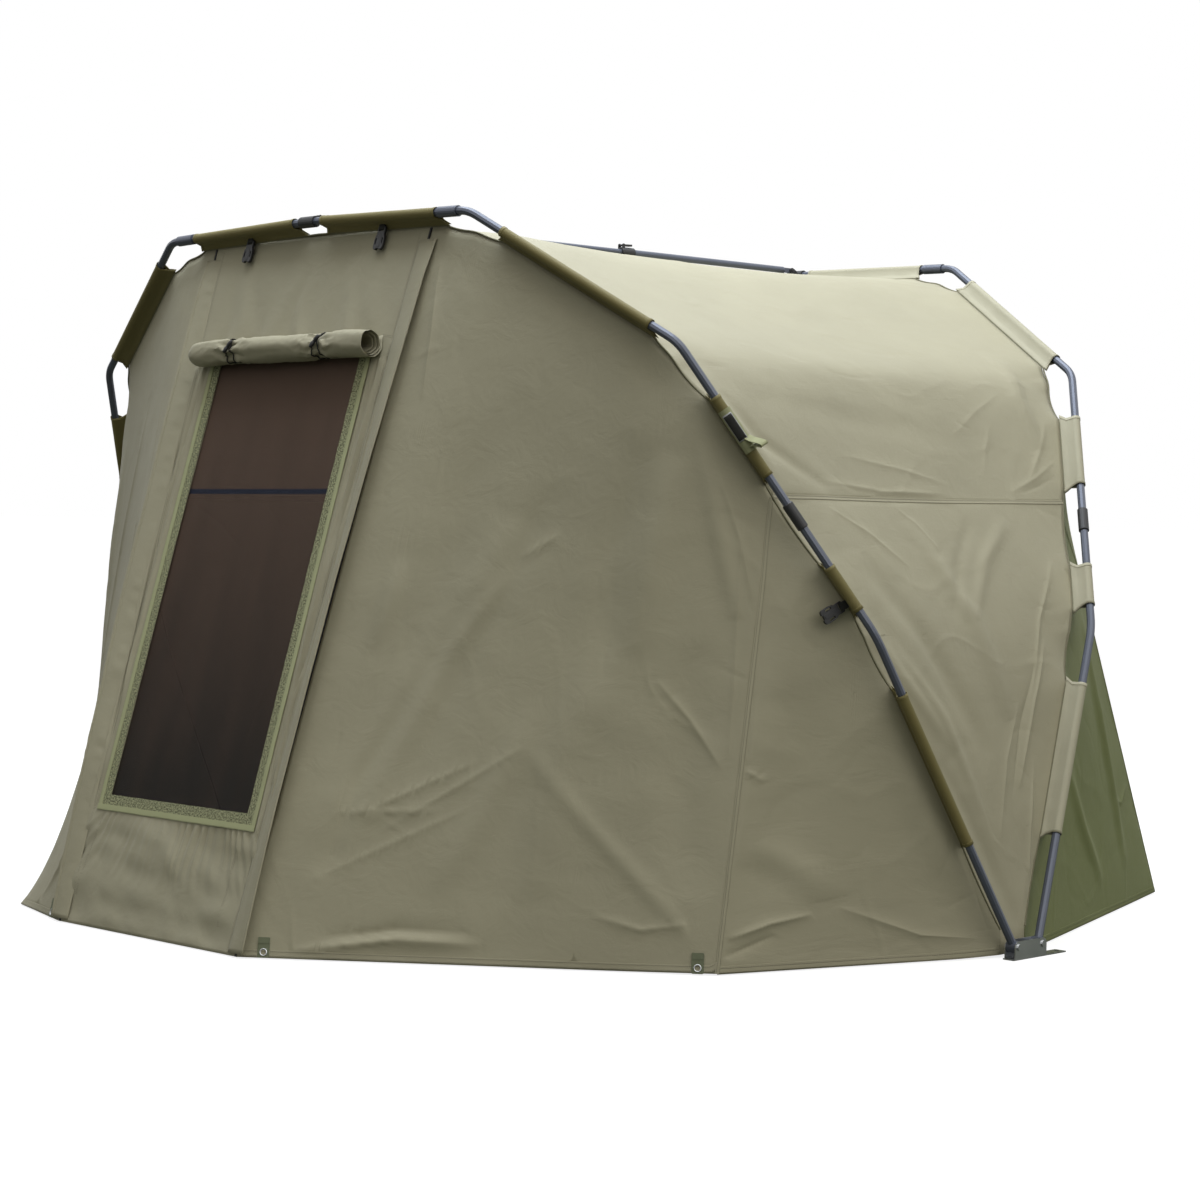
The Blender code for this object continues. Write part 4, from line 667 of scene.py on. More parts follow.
def folded(thing, axes, folds, broad=0.0030, fine=0.0012, crease=0.0008, hold=0.020, seed=0.0, sharp=1.0):
    """Lifts a panel's cloth along its own outward directions into its folds and slack."""
    mesh = thing.data
    points = listed(mesh.vertices, "co", 3)
    normals = listed(mesh.vertices, "normal", 3)
    lift = fold_height(points[:, axes], folds, sharp)
    lift += slack_of(points, seed, broad, fine, crease)
    held = smooth(np.clip(border_distance(mesh, points) / hold, 0.0, 1.0))
    moved(mesh, points + normals * (lift * held * settings().fold_scale)[:, None])


SKIN_PANELS = (
    "roof_skin",
    "side_wall_left",
    "side_wall_right",
    "front_wall_left",
    "front_wall_right",
    "front_corner_left",
    "front_corner_right",
    "rear_centre_wall",
    "rear_wall_left",
    "rear_wall_right",
)
BORDERS = {}


def outer_sheet(node):
    """The outer face of a CAD panel, welded and rid of its diagonals."""
    bm = bmesh.new()
    bm.from_mesh(frame["nodes"][node].data)
    bmesh.ops.remove_doubles(bm, verts=bm.verts, dist=WELD)
    bm.normal_update()

    def outness(face):
        return face.calc_area() * face.normal.dot((face.calc_center_median() - HEART).normalized())

    seed = max(bm.faces, key=outness)
    kept = {seed}
    waiting = [seed]
    while waiting:
        face = waiting.pop()
        for edge in face.edges:
            for other in edge.link_faces:
                if other not in kept and face.normal.angle(other.normal, pi) < SHEET_TURN:
                    kept.add(other)
                    waiting.append(other)
    bmesh.ops.delete(bm, geom=[face for face in bm.faces if face not in kept], context="FACES")
    bmesh.ops.join_triangles(
        bm, faces=bm.faces, angle_face_threshold=radians(40.0), angle_shape_threshold=radians(180.0)
    )
    return bm


def borders():
    """Places along the border of every panel of the skin, to find its neighbours by."""
    if not BORDERS:
        spots = []
        for node in SKIN_PANELS:
            bm = outer_sheet(node)
            for edge in bm.edges:
                if edge.is_boundary:
                    a, b = (vert.co.copy() for vert in edge.verts)
                    count = max(1, int((b - a).length / 0.003))
                    spots += [(a.lerp(b, k / count), node) for k in range(count)]
            bm.free()
        BORDERS["tree"] = tree_of([spot for spot, _ in spots])
        BORDERS["nodes"] = [node for _, node in spots]
    return BORDERS["tree"], BORDERS["nodes"]


def sewn_up(bm, node):
    """Brings a panel's border halfway to its neighbour's, and keeps its corners sharp."""
    tree, nodes = borders()
    for vert in bm.verts:
        if vert.is_boundary:
            spot, _, away = tree.find(vert.co, filter=lambda i: nodes[i] != node)
            if away < SEAM_REACH:
                vert.co = (vert.co + spot) / 2
    crease = bm.verts.layers.float.new("crease_vert")
    for vert in bm.verts:
        rims = [edge.other_vert(vert).co - vert.co for edge in vert.link_edges if edge.is_boundary]
        if len(rims) == 2 and rims[0].angle(rims[1]) < SHARP_CORNER:
            vert[crease] = 1.0


def eased(thing, spread, crest=0.0):
    """Lets a panel's cloth bridge its bends, as taut cloth does, with its border and its crest held."""
    mesh = thing.data
    points = listed(mesh.vertices, "co", 3)
    normals = listed(mesh.vertices, "normal", 3)
    shares = np.zeros(len(points))
    for face in mesh.polygons:
        for index in face.vertices:
            shares[index] += face.area / len(face.vertices)
    shift = np.empty(points.shape)
    for k, point in enumerate(points):
        apart = points - point
        weight = shares * np.exp(-(apart**2).sum(axis=1) / (2 * spread**2))
        way = weight @ normals
        way /= np.linalg.norm(way)
        shift[k] = way * ((weight @ apart) @ way / weight.sum())
    held = np.clip(border_distance(mesh, points) / (spread * 1.4), 0.0, 1.0)
    if crest:
        held *= np.clip(np.abs(points[:, 0]) / crest - 1.0, 0.0, 1.0)
    moved(mesh, points + shift * smooth(held)[:, None])


def edge_cuts(end, step=0.004):
    """Places along a rib's skin edge, with the way and depth that the cloth is cut in between two sleeves."""
    edge = spaced(skin_edge(), step)
    reaches = running(edge)
    marks = []
    for a, b, shares in SLEEVE_SPANS:
        for share in shares:
            spot = between(a, b, share)
            nearest = min(range(len(edge)), key=lambda i: (edge[i] - spot).length)
            marks.append(reaches[nearest])
    gaps = list(zip(marks[1::2], [*marks[2::2], reaches[-1]], CUT_DEPTHS))
    _, up, _ = rib_axes(end)
    places = []
    for i, spot in enumerate(edge):
        along = heading(edge, i)
        depth = 0.0
        for start, finish_reach, deep in gaps:
            if start < reaches[i] < finish_reach:
                depth = deep * sin(pi * (reaches[i] - start) / (finish_reach - start)) ** 0.8
        for hand in (LEFT, RIGHT):
            place = on_rib(end, hand * spot.x, spot.y, SKIN_SET_BACK)
            inward = Vector((hand * along.y, 0, 0)) - up * along.x
            places.append((place, inward * depth))
    return places


def cut_in(points, ends, reach=0.17):
    """Draws the cloth in along its edges where no sleeve holds it to the rib."""
    for end in ends:
        places = edge_cuts(end, 0.008)
        tree = tree_of([place for place, _ in places])
        for k, point in enumerate(points):
            _, _, away = tree.find(point)
            if away < reach:
                spread = 0.003 + away * 0.55
                total = 0.0
                shift = Vector()
                for _, i, far in tree.find_n(point, 16):
                    weight = exp(-(((far - away) / spread) ** 2))
                    total += weight
                    shift += places[i][1] * weight
                points[k] = Vector(point) + shift / total * smooth(1 - away / reach)
    return points


def girth(points):
    """How far round the tent each point of the roof or a side wall lies, from the crown down."""
    edge = spaced(skin_edge(), 0.01)
    reaches = running(edge)
    places = [on_rib(FRONT, spot.x, spot.y, SKIN_SET_BACK) for spot in edge]
    tree = tree_of([(place.x, 0, place.z) for place in places])
    found = [tree.find((abs(x), 0, z))[1] for x, _, z in points]
    return np.array([reaches[i] for i in found]) * np.sign(points[:, 0] + 1e-9)


def sheet_area(thing):
    bm = bmesh.new()
    bm.from_mesh(thing.data)
    area = sum(face.calc_area() for face in bm.faces)
    bm.free()
    return area


def declare_cloth(thing, area, width, length, held, rests_on=(), with_pieces=()):
    """Works out how long a rectangle of the given width must be to hold a cloth's flat area, and keeps
    nothing of it.
    """
    if area > width * length:
        length = area / width * 1.001


def sewn_panel(name, node, slot, axes, folds, ends, body=None, ease=0.05, crest=0.0, **slack):
    """A panel of cloth over the outer face of its CAD node."""
    bm = outer_sheet(node)
    sewn_up(bm, node)
    thing = piece(name, bm, slot, body, (node,), outward=False)
    subdivided(thing, 2)
    eased(thing, ease, crest)
    eased(thing, ease / 2, crest)
    subdivided(thing, settings().cloth_levels - 2)
    refined(thing, axes, folds)
    points = listed(thing.data.vertices, "co", 3)
    round_tent = body is None
    lay_pairs(thing, np.stack([points[:, 1], girth(points)], axis=1) if round_tent else points[:, axes])
    moved(thing.data, cut_in(points, ends))
    folded(thing, axes, folds, **slack)
    thing.data.shade_smooth()
    low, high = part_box(node)
    spans = sorted((Vector(high) - Vector(low)), reverse=True)
    declare_cloth(thing, sheet_area(thing), spans[0], spans[1] * 1.2, "stretched")
    thickened(thing, CANVAS_THICKNESS)
    return thing


def rim_of(thing):
    """The places of a finished panel's border."""
    bm = bmesh.new()
    bm.from_mesh(thing.data)
    spots = [vert.co.copy() for vert in bm.verts if vert.is_boundary]
    bm.free()
    return spots


def shared_edge(a, b, axis, near=0.006):
    """The line along which two finished panels meet."""
    tree = tree_of(rim_of(b))
    met = [spot for spot in rim_of(a) if tree.find(spot)[2] < near]
    return sorted(met, key=lambda spot: spot[axis])


def faces_of(*things):
    """The outer faces of finished cloths, to lay tapes on."""
    bm = bmesh.new()
    for thing in things:
        bm.from_mesh(thing.data)
    tree = BVHTree.FromBMesh(bm)
    bm.free()
    return tree


# A laid tape's section, as shares of its half width and its height
TAPE_EDGE = ((-1.0, -0.6), (-0.94, 0.9), (-0.5, 1.0), (-0.12, 0.75))
TAPE_PROFILE = (*TAPE_EDGE, *((-x, rise) for x, rise in reversed(TAPE_EDGE)))


def laid_tape(path, tree, width, height, bm=None, step=0.012):
    """A strip that lies on finished cloth along a path."""
    path = spaced(path, step)
    rows = []
    for i, point in enumerate(path):
        along = heading(path, i)
        _, out, _, _ = tree.find_nearest(point)
        across = out.cross(along).normalized()
        row = []
        for side, rise in TAPE_PROFILE:
            spot, way, _, _ = tree.find_nearest(point + across * (side * width / 2))
            row.append(spot + way * (rise * height))
        rows.append(row)
    return loft(rows, bm=bm)


# Finishes
def new_finish(name):
    made = bpy.data.materials.new(name)
    made.use_nodes = True
    return made, made.node_tree, made.node_tree.nodes["Principled BSDF"]


def feed(node, values):
    """Gives a node's inputs their values, or links them to the outputs of other nodes."""
    for key, value in values.items():
        if isinstance(value, bpy.types.NodeSocket):
            node.id_data.links.new(value, node.inputs[key])
        else:
            node.inputs[key].default_value = value
    return node


def add(tree, kind, values=None, **options):
    """A new node, with its options set and its inputs fed."""
    made = tree.nodes.new(f"ShaderNode{kind}")
    for key, value in options.items():
        setattr(made, key, value)
    return feed(made, values or {})


def maths(tree, operation, *values, clamp=False):
    return add(tree, "Math", dict(enumerate(values)), operation=operation, use_clamp=clamp).outputs["Value"]


def mixed(tree, factor, first, second):
    """A colour between two others."""
    values = {"Factor": factor, "A": first, "B": second}
    return add(tree, "Mix", values, data_type="RGBA").outputs["Result"]


def solid(colour, level, tint=(1.0, 1.0, 1.0)):
    """A colour made darker or lighter, and opaque."""
    return (*[min(1.0, c * level * share) for c, share in zip(colour, tint)], 1.0)


def ranged(tree, value, low, high):
    return add(tree, "MapRange", {"Value": value, "To Min": low, "To Max": high}).outputs["Result"]


def pattern(tree, kind, place, values, **options):
    """How strong a texture is at each place."""
    return add(tree, f"Tex{kind}", {"Vector": place, **values}, **options).outputs["Fac"]


def cloudy(tree, place, scale, detail, roughness=0.5, distortion=0.0, kind="FBM"):
    values = {"Scale": scale, "Detail": detail, "Roughness": roughness, "Distortion": distortion}
    return pattern(tree, "Noise", place, values, noise_type=kind)


def bumpy(tree, reliefs):
    """The normal of a surface under reliefs, each a pattern, its strength and its height."""
    values = {}
    for height, strength, distance in reliefs:
        values.update({"Height": height, "Strength": strength, "Distance": distance})
        values["Normal"] = add(tree, "Bump", values).outputs["Normal"]
    return values["Normal"]


def cloth_finish(
    name, colour, roughness=0.62, crease=1.0, variety=0.09, patch=2.3, contrast=1.6, thread=None, stitches=()
):
    """Coated woven cloth on a UV map in metres, with threads, shades, fine creases and rows of stitches."""
    made, tree, shader = new_finish(name)
    thread = thread or settings().thread
    place = add(tree, "UVMap", uv_map="cloth").outputs["UV"]
    weave = {"Scale": WAVE_SCALE / thread, "Distortion": 0.6}
    threads = [pattern(tree, "Wave", place, weave, bands_direction=way) for way in ("X", "Y")]
    patches = cloudy(tree, place, patch, 6.0, 0.6)
    spread = maths(tree, "MULTIPLY_ADD", patches, contrast, 0.5 - contrast / 2, clamp=True)
    result = mixed(tree, spread, solid(colour, 1 - variety), solid(colour, 1 + variety))
    reliefs = [
        (cloudy(tree, place, 7.0, 3.0, 0.5, kind="RIDGED_MULTIFRACTAL"), 0.6, CREASE_HEIGHT * crease),
        (cloudy(tree, place, 16.0, 5.0, 0.6, 0.8), 0.6, SLACK_HEIGHT * crease),
        (cloudy(tree, place, 75.0, 3.0, 0.6), 0.5, GRAIN_HEIGHT * crease),
        (maths(tree, "MAXIMUM", *threads), 0.3, thread / 3),
    ]
    if stitches:
        marks = stitch_rows(tree, place, stitches)
        result = mixed(tree, marks, result, solid(colour, 0.50))
        reliefs.append((marks, 1.0, STITCH_HEIGHT))
    feed(shader, {
        "Base Color": result,
        "Normal": bumpy(tree, reliefs),
        "Roughness": roughness,
        "Specular IOR Level": 0.24,
        "Sheen Weight": 0.04,
        "Sheen Roughness": 0.45,
    })
    return made


def stitch_rows(tree, place, rows):
    """Where the dashes of thread lie along a tape, at given distances from its first edge."""
    along, across, _ = add(tree, "SeparateXYZ", {"Vector": place}).outputs
    dash = maths(tree, "LESS_THAN", maths(tree, "FRACT", maths(tree, "DIVIDE", along, STITCH_PITCH)), 0.68)
    line = 0.0
    for row in rows:
        away = maths(tree, "ABSOLUTE", maths(tree, "SUBTRACT", across, row))
        line = maths(tree, "MAXIMUM", line, maths(tree, "LESS_THAN", away, STITCH_WIDTH / 2))
    return maths(tree, "MULTIPLY", dash, line)


def hard_finish(name, colour, roughness, metallic=0.0, grain=0.0004, variety=0.12):
    """Metal or moulded plastic with fine grain, slight changes of shade and rubbed places."""
    made, tree, shader = new_finish(name)
    place = add(tree, "TexCoord").outputs["Object"]
    patches = cloudy(tree, place, 14.0, 4.0)
    feed(shader, {
        "Base Color": mixed(tree, patches, solid(colour, 1 - variety), solid(colour, 1 + variety)),
        "Roughness": ranged(tree, patches, roughness * 0.8, min(1.0, roughness * 1.25)),
        "Metallic": metallic,
        "Normal": bumpy(tree, [(cloudy(tree, place, 220.0, 3.0), 0.2, grain)]),
    })
    return made


def netting_finish():
    """Fine insect mesh: dark threads with air between them, with painted light that makes it lighter and
    browner towards the top and in stretched patches.
    """
    made, tree, shader = new_finish("window_netting")
    place = add(tree, "UVMap", uv_map="cloth").outputs["UV"]
    cells = {"Scale": 1.0, "Brick Width": NET_PITCH, "Row Height": NET_PITCH, "Mortar Size": NET_PITCH / 5}
    holes = pattern(tree, "Brick", place, {**cells, "Mortar Smooth": 0.2}, offset=0.0)
    drawn = add(tree, "Mapping", {"Vector": place, "Scale": (14.0, 1.6, 1.0)}).outputs["Vector"]
    height = add(tree, "SeparateXYZ", {"Vector": place}).outputs["Y"]
    # Painted light: the mesh's colour runs from a dark shade at the foot to a lighter, browner lit shade at
    # the top, with stretched patches of painted light
    rising = ranged(tree, height, -0.25, 0.85)
    painted_daylight = maths(tree, "MULTIPLY_ADD", cloudy(tree, drawn, 1.0, 3.0), 0.55, rising, clamp=True)
    colour = settings().mesh_colour
    shade = mixed(tree, painted_daylight, solid(colour, 0.35), solid(colour, 1.0, (2.7, 2.2, 2.0)))
    level = on_door(0, down_to(BAND_HEIGHT)).dot(-DOOR_DOWN)
    off = maths(tree, "ABSOLUTE", maths(tree, "SUBTRACT", height, level))
    feed(shader, {
        "Base Color": mixed(tree, maths(tree, "LESS_THAN", off, BAND_HALF), shade, BAND_COLOUR),
        "Alpha": ranged(tree, holes, 0.55, 1.0),
        "Roughness": 0.75,
        "Specular IOR Level": 0.20,
    })
    return made


def zip_finish():
    """Coiled zip teeth: close ribs across the tape."""
    made, tree, shader = new_finish("zip_chain")
    place = add(tree, "TexCoord").outputs["Object"]
    teeth = pattern(tree, "Wave", place, {"Scale": WAVE_SCALE / ZIP_PITCH}, bands_direction="Z")
    feed(shader, {
        "Base Color": mixed(tree, teeth, (0.010, 0.010, 0.011, 1.0), (0.040, 0.040, 0.040, 1.0)),
        "Normal": bumpy(tree, [(teeth, 1.0, ZIP_PITCH / 3)]),
        "Roughness": 0.5,
    })
    return made


FINISHES = {}


def finish(name):
    """The tent's finishes, made on first use."""
    if name not in FINISHES:
        given = settings()
        canvas = given.canvas_colour
        tape = {"roughness": 0.85, "crease": 0.25, "thread": 0.0016}
        hem = {"crease": 0.5, "stitches": (0.0025, 0.0115)}
        seam = {"crease": 0.4, "stitches": (SEAM_WIDTH * 0.22, SEAM_WIDTH * 0.78)}
        net = {"roughness": 0.9, "thread": 0.0028, "variety": 0.60, "patch": 260.0, "contrast": 6.0}
        cloths = {
            "canvas": ("canvas_cloth", canvas, {}),
            "rear_canvas": ("rear_cloth", given.rear_colour, {}),
            # Painted shade: the front sleeves' finish is a darker copy of the sleeve cloth
            "front_sleeve": ("front_sleeve_shaded_cloth", given.shaded_sleeve_colour, {"crease": 0.5}),
            "rear_sleeve": ("rear_sleeve_cloth", given.rear_sleeve_colour, {"crease": 0.5}),
            "piping": ("piping_cloth", given.piping_colour, {"crease": 0.2}),
            "hem": ("hem_cloth", canvas, hem),
            "rear_hem": ("rear_hem_cloth", given.rear_colour, hem),
            "seam": ("felled_seam", canvas, seam),
            "rear_seam": ("rear_felled_seam", given.rear_colour, seam),
            "webbing": ("woven_tape", given.trim_colour, {**tape, "stitches": (0.002,)}),
            "net_hem": ("netting_hem", given.hem_colour, net),
            "tab": ("tab_webbing", given.tab_colour, {**tape, "stitches": (0.004, 0.036)}),
            "stitching": ("stitched_line", canvas, {"crease": 0.4, "stitches": (0.0022, 0.0058)}),
            "navy_tape": ("navy_tape", (0.012, 0.014, 0.024), tape),
            "strap": ("strap_webbing", given.strap_colour, tape),
            "label_edge": ("label_edging", (0.30, 0.30, 0.29), tape),
            "black_web": ("black_webbing", (0.020, 0.020, 0.018), tape),
        }
        hard = {
            "tube": ("rib_tube", given.tube_colour, 0.36, 0.35),
            "moulding": ("black_moulding", (0.011, 0.011, 0.012), 0.50, 0.0, 0.0002),
            "steel": ("bright_steel", (0.50, 0.51, 0.52), 0.28, 1.0),
        }
        if name in cloths:
            title, shade, options = cloths[name]
            FINISHES[name] = cloth_finish(title, shade, **options)
        elif name in hard:
            FINISHES[name] = hard_finish(*hard[name])
        else:
            FINISHES[name] = {"mesh": netting_finish, "zip": zip_finish}[name]()
    return FINISHES[name]


# Stage
CAMERA_PLACE = Vector((4.965, -4.7008, 0.947))
CAMERA_YAW = radians(45.305)
CAMERA_PITCH = radians(-1.690)
CAMERA_ROLL = radians(0.689)
FOCAL_SHARE = 2689.0 / 1200.0
FLOOR_SIZE = 900.0
FLOOR_DROP = -0.0008
FLOOR_BOUNCE = (0.12, 0.13, 0.10, 1.0)
FLOOR_SEEN = (0.93, 0.93, 0.93, 1.0)
FLOOR_GLOW = 1.3
FLOOR_SHARE = 0.62
SKY_STRENGTH = 0.285
BOX_POWER = 225.0
BOX_SIZE = 4.0
BOX_HEIGHT = 4.4
SIDE_STRENGTH = 1.12
SIDE_WAY = (1.0, 0.10, 0.90)
FRONT_STRENGTH = 0.52
FRONT_WAY = (0.45, -1.0, 0.90)
LAMP_ANGLE = radians(58.0)
SKY_COLOUR = (0.905, 0.975, 1.06)
SUN_COLOUR = (1.0, 0.975, 0.90)


def placed(place, *ways):
    """A placing by its three directions."""
    return Matrix.Translation(place) @ Matrix(ways).transposed().to_4x4()


def camera():
    forward = Vector(
        (-sin(CAMERA_YAW) * cos(CAMERA_PITCH), cos(CAMERA_YAW) * cos(CAMERA_PITCH), sin(CAMERA_PITCH))
    )
    level = Vector((cos(CAMERA_YAW), sin(CAMERA_YAW), 0))
    over = level.cross(forward)
    right = level * cos(CAMERA_ROLL) + over * sin(CAMERA_ROLL)
    up = over * cos(CAMERA_ROLL) - level * sin(CAMERA_ROLL)
    data = bpy.data.cameras.new("photo_camera")
    data.sensor_fit = "HORIZONTAL"
    data.sensor_width = 36.0
    data.lens = FOCAL_SHARE * data.sensor_width
    data.clip_end = FLOOR_SIZE * 2
    thing = bpy.data.objects.new("photo_camera", data)
    thing.matrix_world = placed(CAMERA_PLACE, right, up, -forward)
    bpy.context.collection.objects.link(thing)
    bpy.context.scene.camera = thing
    return thing


def seen_white(tree):
    """Is this ray one that the eye, a gloss or a clear surface sends out?"""
    rays = add(tree, "LightPath").outputs
    first = maths(tree, "MAXIMUM", rays["Is Camera Ray"], rays["Is Glossy Ray"])
    return maths(tree, "MAXIMUM", first, rays["Is Transmission Ray"])


def sky():
    world = bpy.data.worlds.new("pale_sky")
    world.use_nodes = True
    tree = world.node_tree
    strength = ranged(tree, seen_white(tree), SKY_STRENGTH, 1.0)
    feed(tree.nodes["Background"], {"Color": (1.0, 1.0, 1.0, 1.0), "Strength": strength})
    bpy.context.scene.world = world


def floor():
    bm = bmesh.new()
    bmesh.ops.create_circle(bm, cap_ends=True, segments=64, radius=FLOOR_SIZE)
    made, tree, shader = new_finish("pale_floor")
    eye = add(tree, "LightPath").outputs["Is Camera Ray"]
    feed(shader, {
        "Base Color": mixed(tree, eye, FLOOR_BOUNCE, FLOOR_SEEN),
        "Roughness": 1.0,
        "Specular IOR Level": 0.0,
    })
    glow = add(tree, "Emission", {"Strength": FLOOR_GLOW}).outputs["Emission"]
    share = maths(tree, "MULTIPLY", eye, FLOOR_SHARE)
    blend = add(tree, "MixShader", {0: share, 1: shader.outputs["BSDF"], 2: glow})
    feed(tree.nodes["Material Output"], {"Surface": blend.outputs["Shader"]})
    FINISHES["floor"] = made
    ground = piece("floor", bm, "floor", None, smooth=False)
    ground.location.z = FLOOR_DROP


def lamp(name, kind, power, size, way, height=0.0):
    data = bpy.data.lights.new(name, kind)
    data.energy = power
    if kind == "SUN":
        data.color = SUN_COLOUR
        data.angle = size
    else:
        data.color = SKY_COLOUR
        data.shape = "DISK"
        data.size = size
    thing = bpy.data.objects.new(name, data)
    thing.location.z = height
    thing.rotation_euler = Vector(way).to_track_quat("Z", "Y").to_euler()
    bpy.context.collection.objects.link(thing)


class BIVVY_OT_stage(bpy.types.Operator):
    """Sets the camera, the pale floor, the sky and the soft lamps"""

    bl_idname = "bivvy.stage"
    bl_label = "Stage"

    def execute(self, context):
        camera()
        sky()
        floor()
        lamp("soft_box", "AREA", BOX_POWER, BOX_SIZE, (0, 0, 1), BOX_HEIGHT)
        lamp("side_lamp", "SUN", SIDE_STRENGTH, LAMP_ANGLE, SIDE_WAY)
        lamp("front_lamp", "SUN", FRONT_STRENGTH, LAMP_ANGLE, FRONT_WAY)
        scene = context.scene
        scene.view_settings.view_transform = "Standard"
        return {"FINISHED"}


# CAD nodes that keep their shape
KEPT_FINISHES = (
    ("tube", ("leg", "shoulder", "top_bar", "ridge_outer_tube", "ridge_inner_tube")),
    ("moulding", ("ferrule", "centre_joint", "collar", "lever", "hook")),
    ("zip", ("zip_track",)),
    ("steel", ("hub_bracket", "zip_slider")),
)


class BIVVY_OT_fittings(bpy.types.Operator):
    """Gives the rib tubes, joints, hubs and ridge bar their finishes"""

    bl_idname = "bivvy.fittings"
    bl_label = "Ribs and fittings"

    def execute(self, context):
        for name, node in frame["nodes"].items():
            for kind, words in KEPT_FINISHES:
                if any(word in name for word in words):
                    for slot in node.material_slots:
                        slot.material = finish(kind)
        return {"FINISHED"}


# Skin
MADE = {}
ENDWAYS = [0, 2]
SIDEWAYS = [1, 2]


def blended(thing):
    """Bakes the placing of a piece of the roof or side walls into its mesh."""
    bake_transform(thing)
    return thing


class BIVVY_OT_roof(bpy.types.Operator):
    """Sews the roof and the side walls between the two ribs"""

    bl_idname = "bivvy.roof"
    bl_label = "Roof and side walls"

    def execute(self, context):
        both = (FRONT, REAR)
        MADE["roof"] = sewn_panel(
            "roof_cloth", "roof_skin", "canvas", SIDEWAYS, ROOF_FOLDS, both, ease=0.055, crest=0.25,
            broad=0.0034, seed=3.1,
        )
        for hand, side in SIDES.items():
            MADE[f"side_{side}"] = sewn_panel(
                f"side_cloth_{side}", f"side_wall_{side}", "canvas", SIDEWAYS, SIDE_FOLDS, both,
                ease=0.09, broad=0.0025, seed=1.7 * hand,
            )
        for thing in MADE.values():
            blended(thing)
        return {"FINISHED"}


class BIVVY_OT_front_walls(bpy.types.Operator):
    """Sews the walls on both sides of the door and the corner panels beside them"""

    bl_idname = "bivvy.front_walls"
    bl_label = "Front walls"

    def execute(self, context):
        mirrored = [(*[(-x, z) for x, z in line], width, height) for *line, width, height in CORNER_FOLDS]
        sets = ((LEFT_WALL_FOLDS, mirrored), (RIGHT_WALL_FOLDS, CORNER_FOLDS))
        for (hand, side), (folds, corner) in zip(SIDES.items(), sets):
            MADE[f"front_{side}"] = sewn_panel(
                f"front_cloth_{side}", f"front_wall_{side}", "canvas", ENDWAYS, folds, (FRONT,),
                "front_frame", sharp=1.9, seed=5.3 + hand,
            )
            MADE[f"corner_{side}"] = sewn_panel(
                f"corner_cloth_{side}", f"front_corner_{side}", "canvas", ENDWAYS, corner, (FRONT,),
                "front_frame", ease=0.03, sharp=1.5, seed=8.2 + hand,
            )
        return {"FINISHED"}


class BIVVY_OT_rear_walls(bpy.types.Operator):
    """Sews the back wall and its two side panels"""

    bl_idname = "bivvy.rear_walls"
    bl_label = "Rear walls"

    def execute(self, context):
        MADE["rear"] = sewn_panel(
            "rear_cloth", "rear_centre_wall", "rear_canvas", ENDWAYS, REAR_FOLDS, (REAR,), "rear_shelter",
            broad=0.0050, seed=2.2,
        )
        for hand, side in SIDES.items():
            MADE[f"rear_{side}"] = sewn_panel(
                f"rear_cloth_{side}", f"rear_wall_{side}", "rear_canvas", SIDEWAYS, REAR_SIDE_FOLDS,
                (REAR,), "rear_shelter", seed=6.6 + hand,
            )
        return {"FINISHED"}


# Panels with a hem: the axis that it runs along, and the body that carries it
HEMMED = (
    *((name, 0, "front_frame") for name in ("front_left", "front_right", "corner_left", "corner_right")),
    ("rear", 0, "rear_shelter"),
    ("rear_left", 1, "rear_shelter"),
    ("rear_right", 1, "rear_shelter"),
)


def seam_between(a, b, axis):
    """The felled seam between two finished panels, and the line that it follows."""
    pair = (MADE[a], MADE[b])
    path = shared_edge(*pair, axis)
    return laid_tape(path, faces_of(*pair), SEAM_WIDTH, SEAM_HEIGHT), path


class BIVVY_OT_seams(bpy.types.Operator):
    """Sews the felled seams between the panels, and the tapes inside the roof's seams"""

    bl_idname = "bivvy.seams"
    bl_label = "Seams"

    def execute(self, context):
        for hand, side in SIDES.items():
            bm, path = seam_between("roof", f"side_{side}", 1)
            blended(piece(f"roof_seam_{side}", bm, "seam", None))
            rows = []
            for spot in spaced(path, 0.02):
                inside = spot + Vector((-hand * 0.006, 0, -0.001))
                square = ((0, -1), (0, 1), (1, 1), (1, -1))
                rows.append([inside + Vector((-hand * 0.001 * x, 0, 0.008 * z)) for x, z in square])
            bm = loft(rows, closed=True, caps=True)
            blended(piece(f"roof_inner_tape_{side}", bm, "navy_tape", None))
            bm, _ = seam_between(f"front_{side}", f"corner_{side}", 2)
            piece(f"front_seam_{side}", bm, "seam", "front_frame")
            bm, _ = seam_between("rear", f"rear_{side}", 2)
            piece(f"rear_seam_{side}", bm, "rear_seam", "rear_shelter")
        return {"FINISHED"}


def foot_line(thing, axis):
    """The lower border of a panel, a little way up its cloth."""
    spots = [spot + Vector((0, 0, HEM_LIFT)) for spot in rim_of(thing) if spot.z < HEM_LIFT * 2]
    return sorted(spots, key=lambda spot: spot[axis])


class BIVVY_OT_hems(bpy.types.Operator):
    """Turns up and stitches the hem along the foot of each panel"""

    bl_idname = "bivvy.hems"
    bl_label = "Hems"

    def execute(self, context):
        for name, axis, body in HEMMED:
            line = foot_line(MADE[name], axis)
            if len(line) < 8:
                continue
            bm = laid_tape(line, faces_of(MADE[name]), HEM_TAPE_WIDTH, HEM_TAPE_HEIGHT)
            cloth = "rear_hem" if body == "rear_shelter" else "hem"
            piece(f"hem_{name}", bm, cloth, body, outward=False)
        return {"FINISHED"}


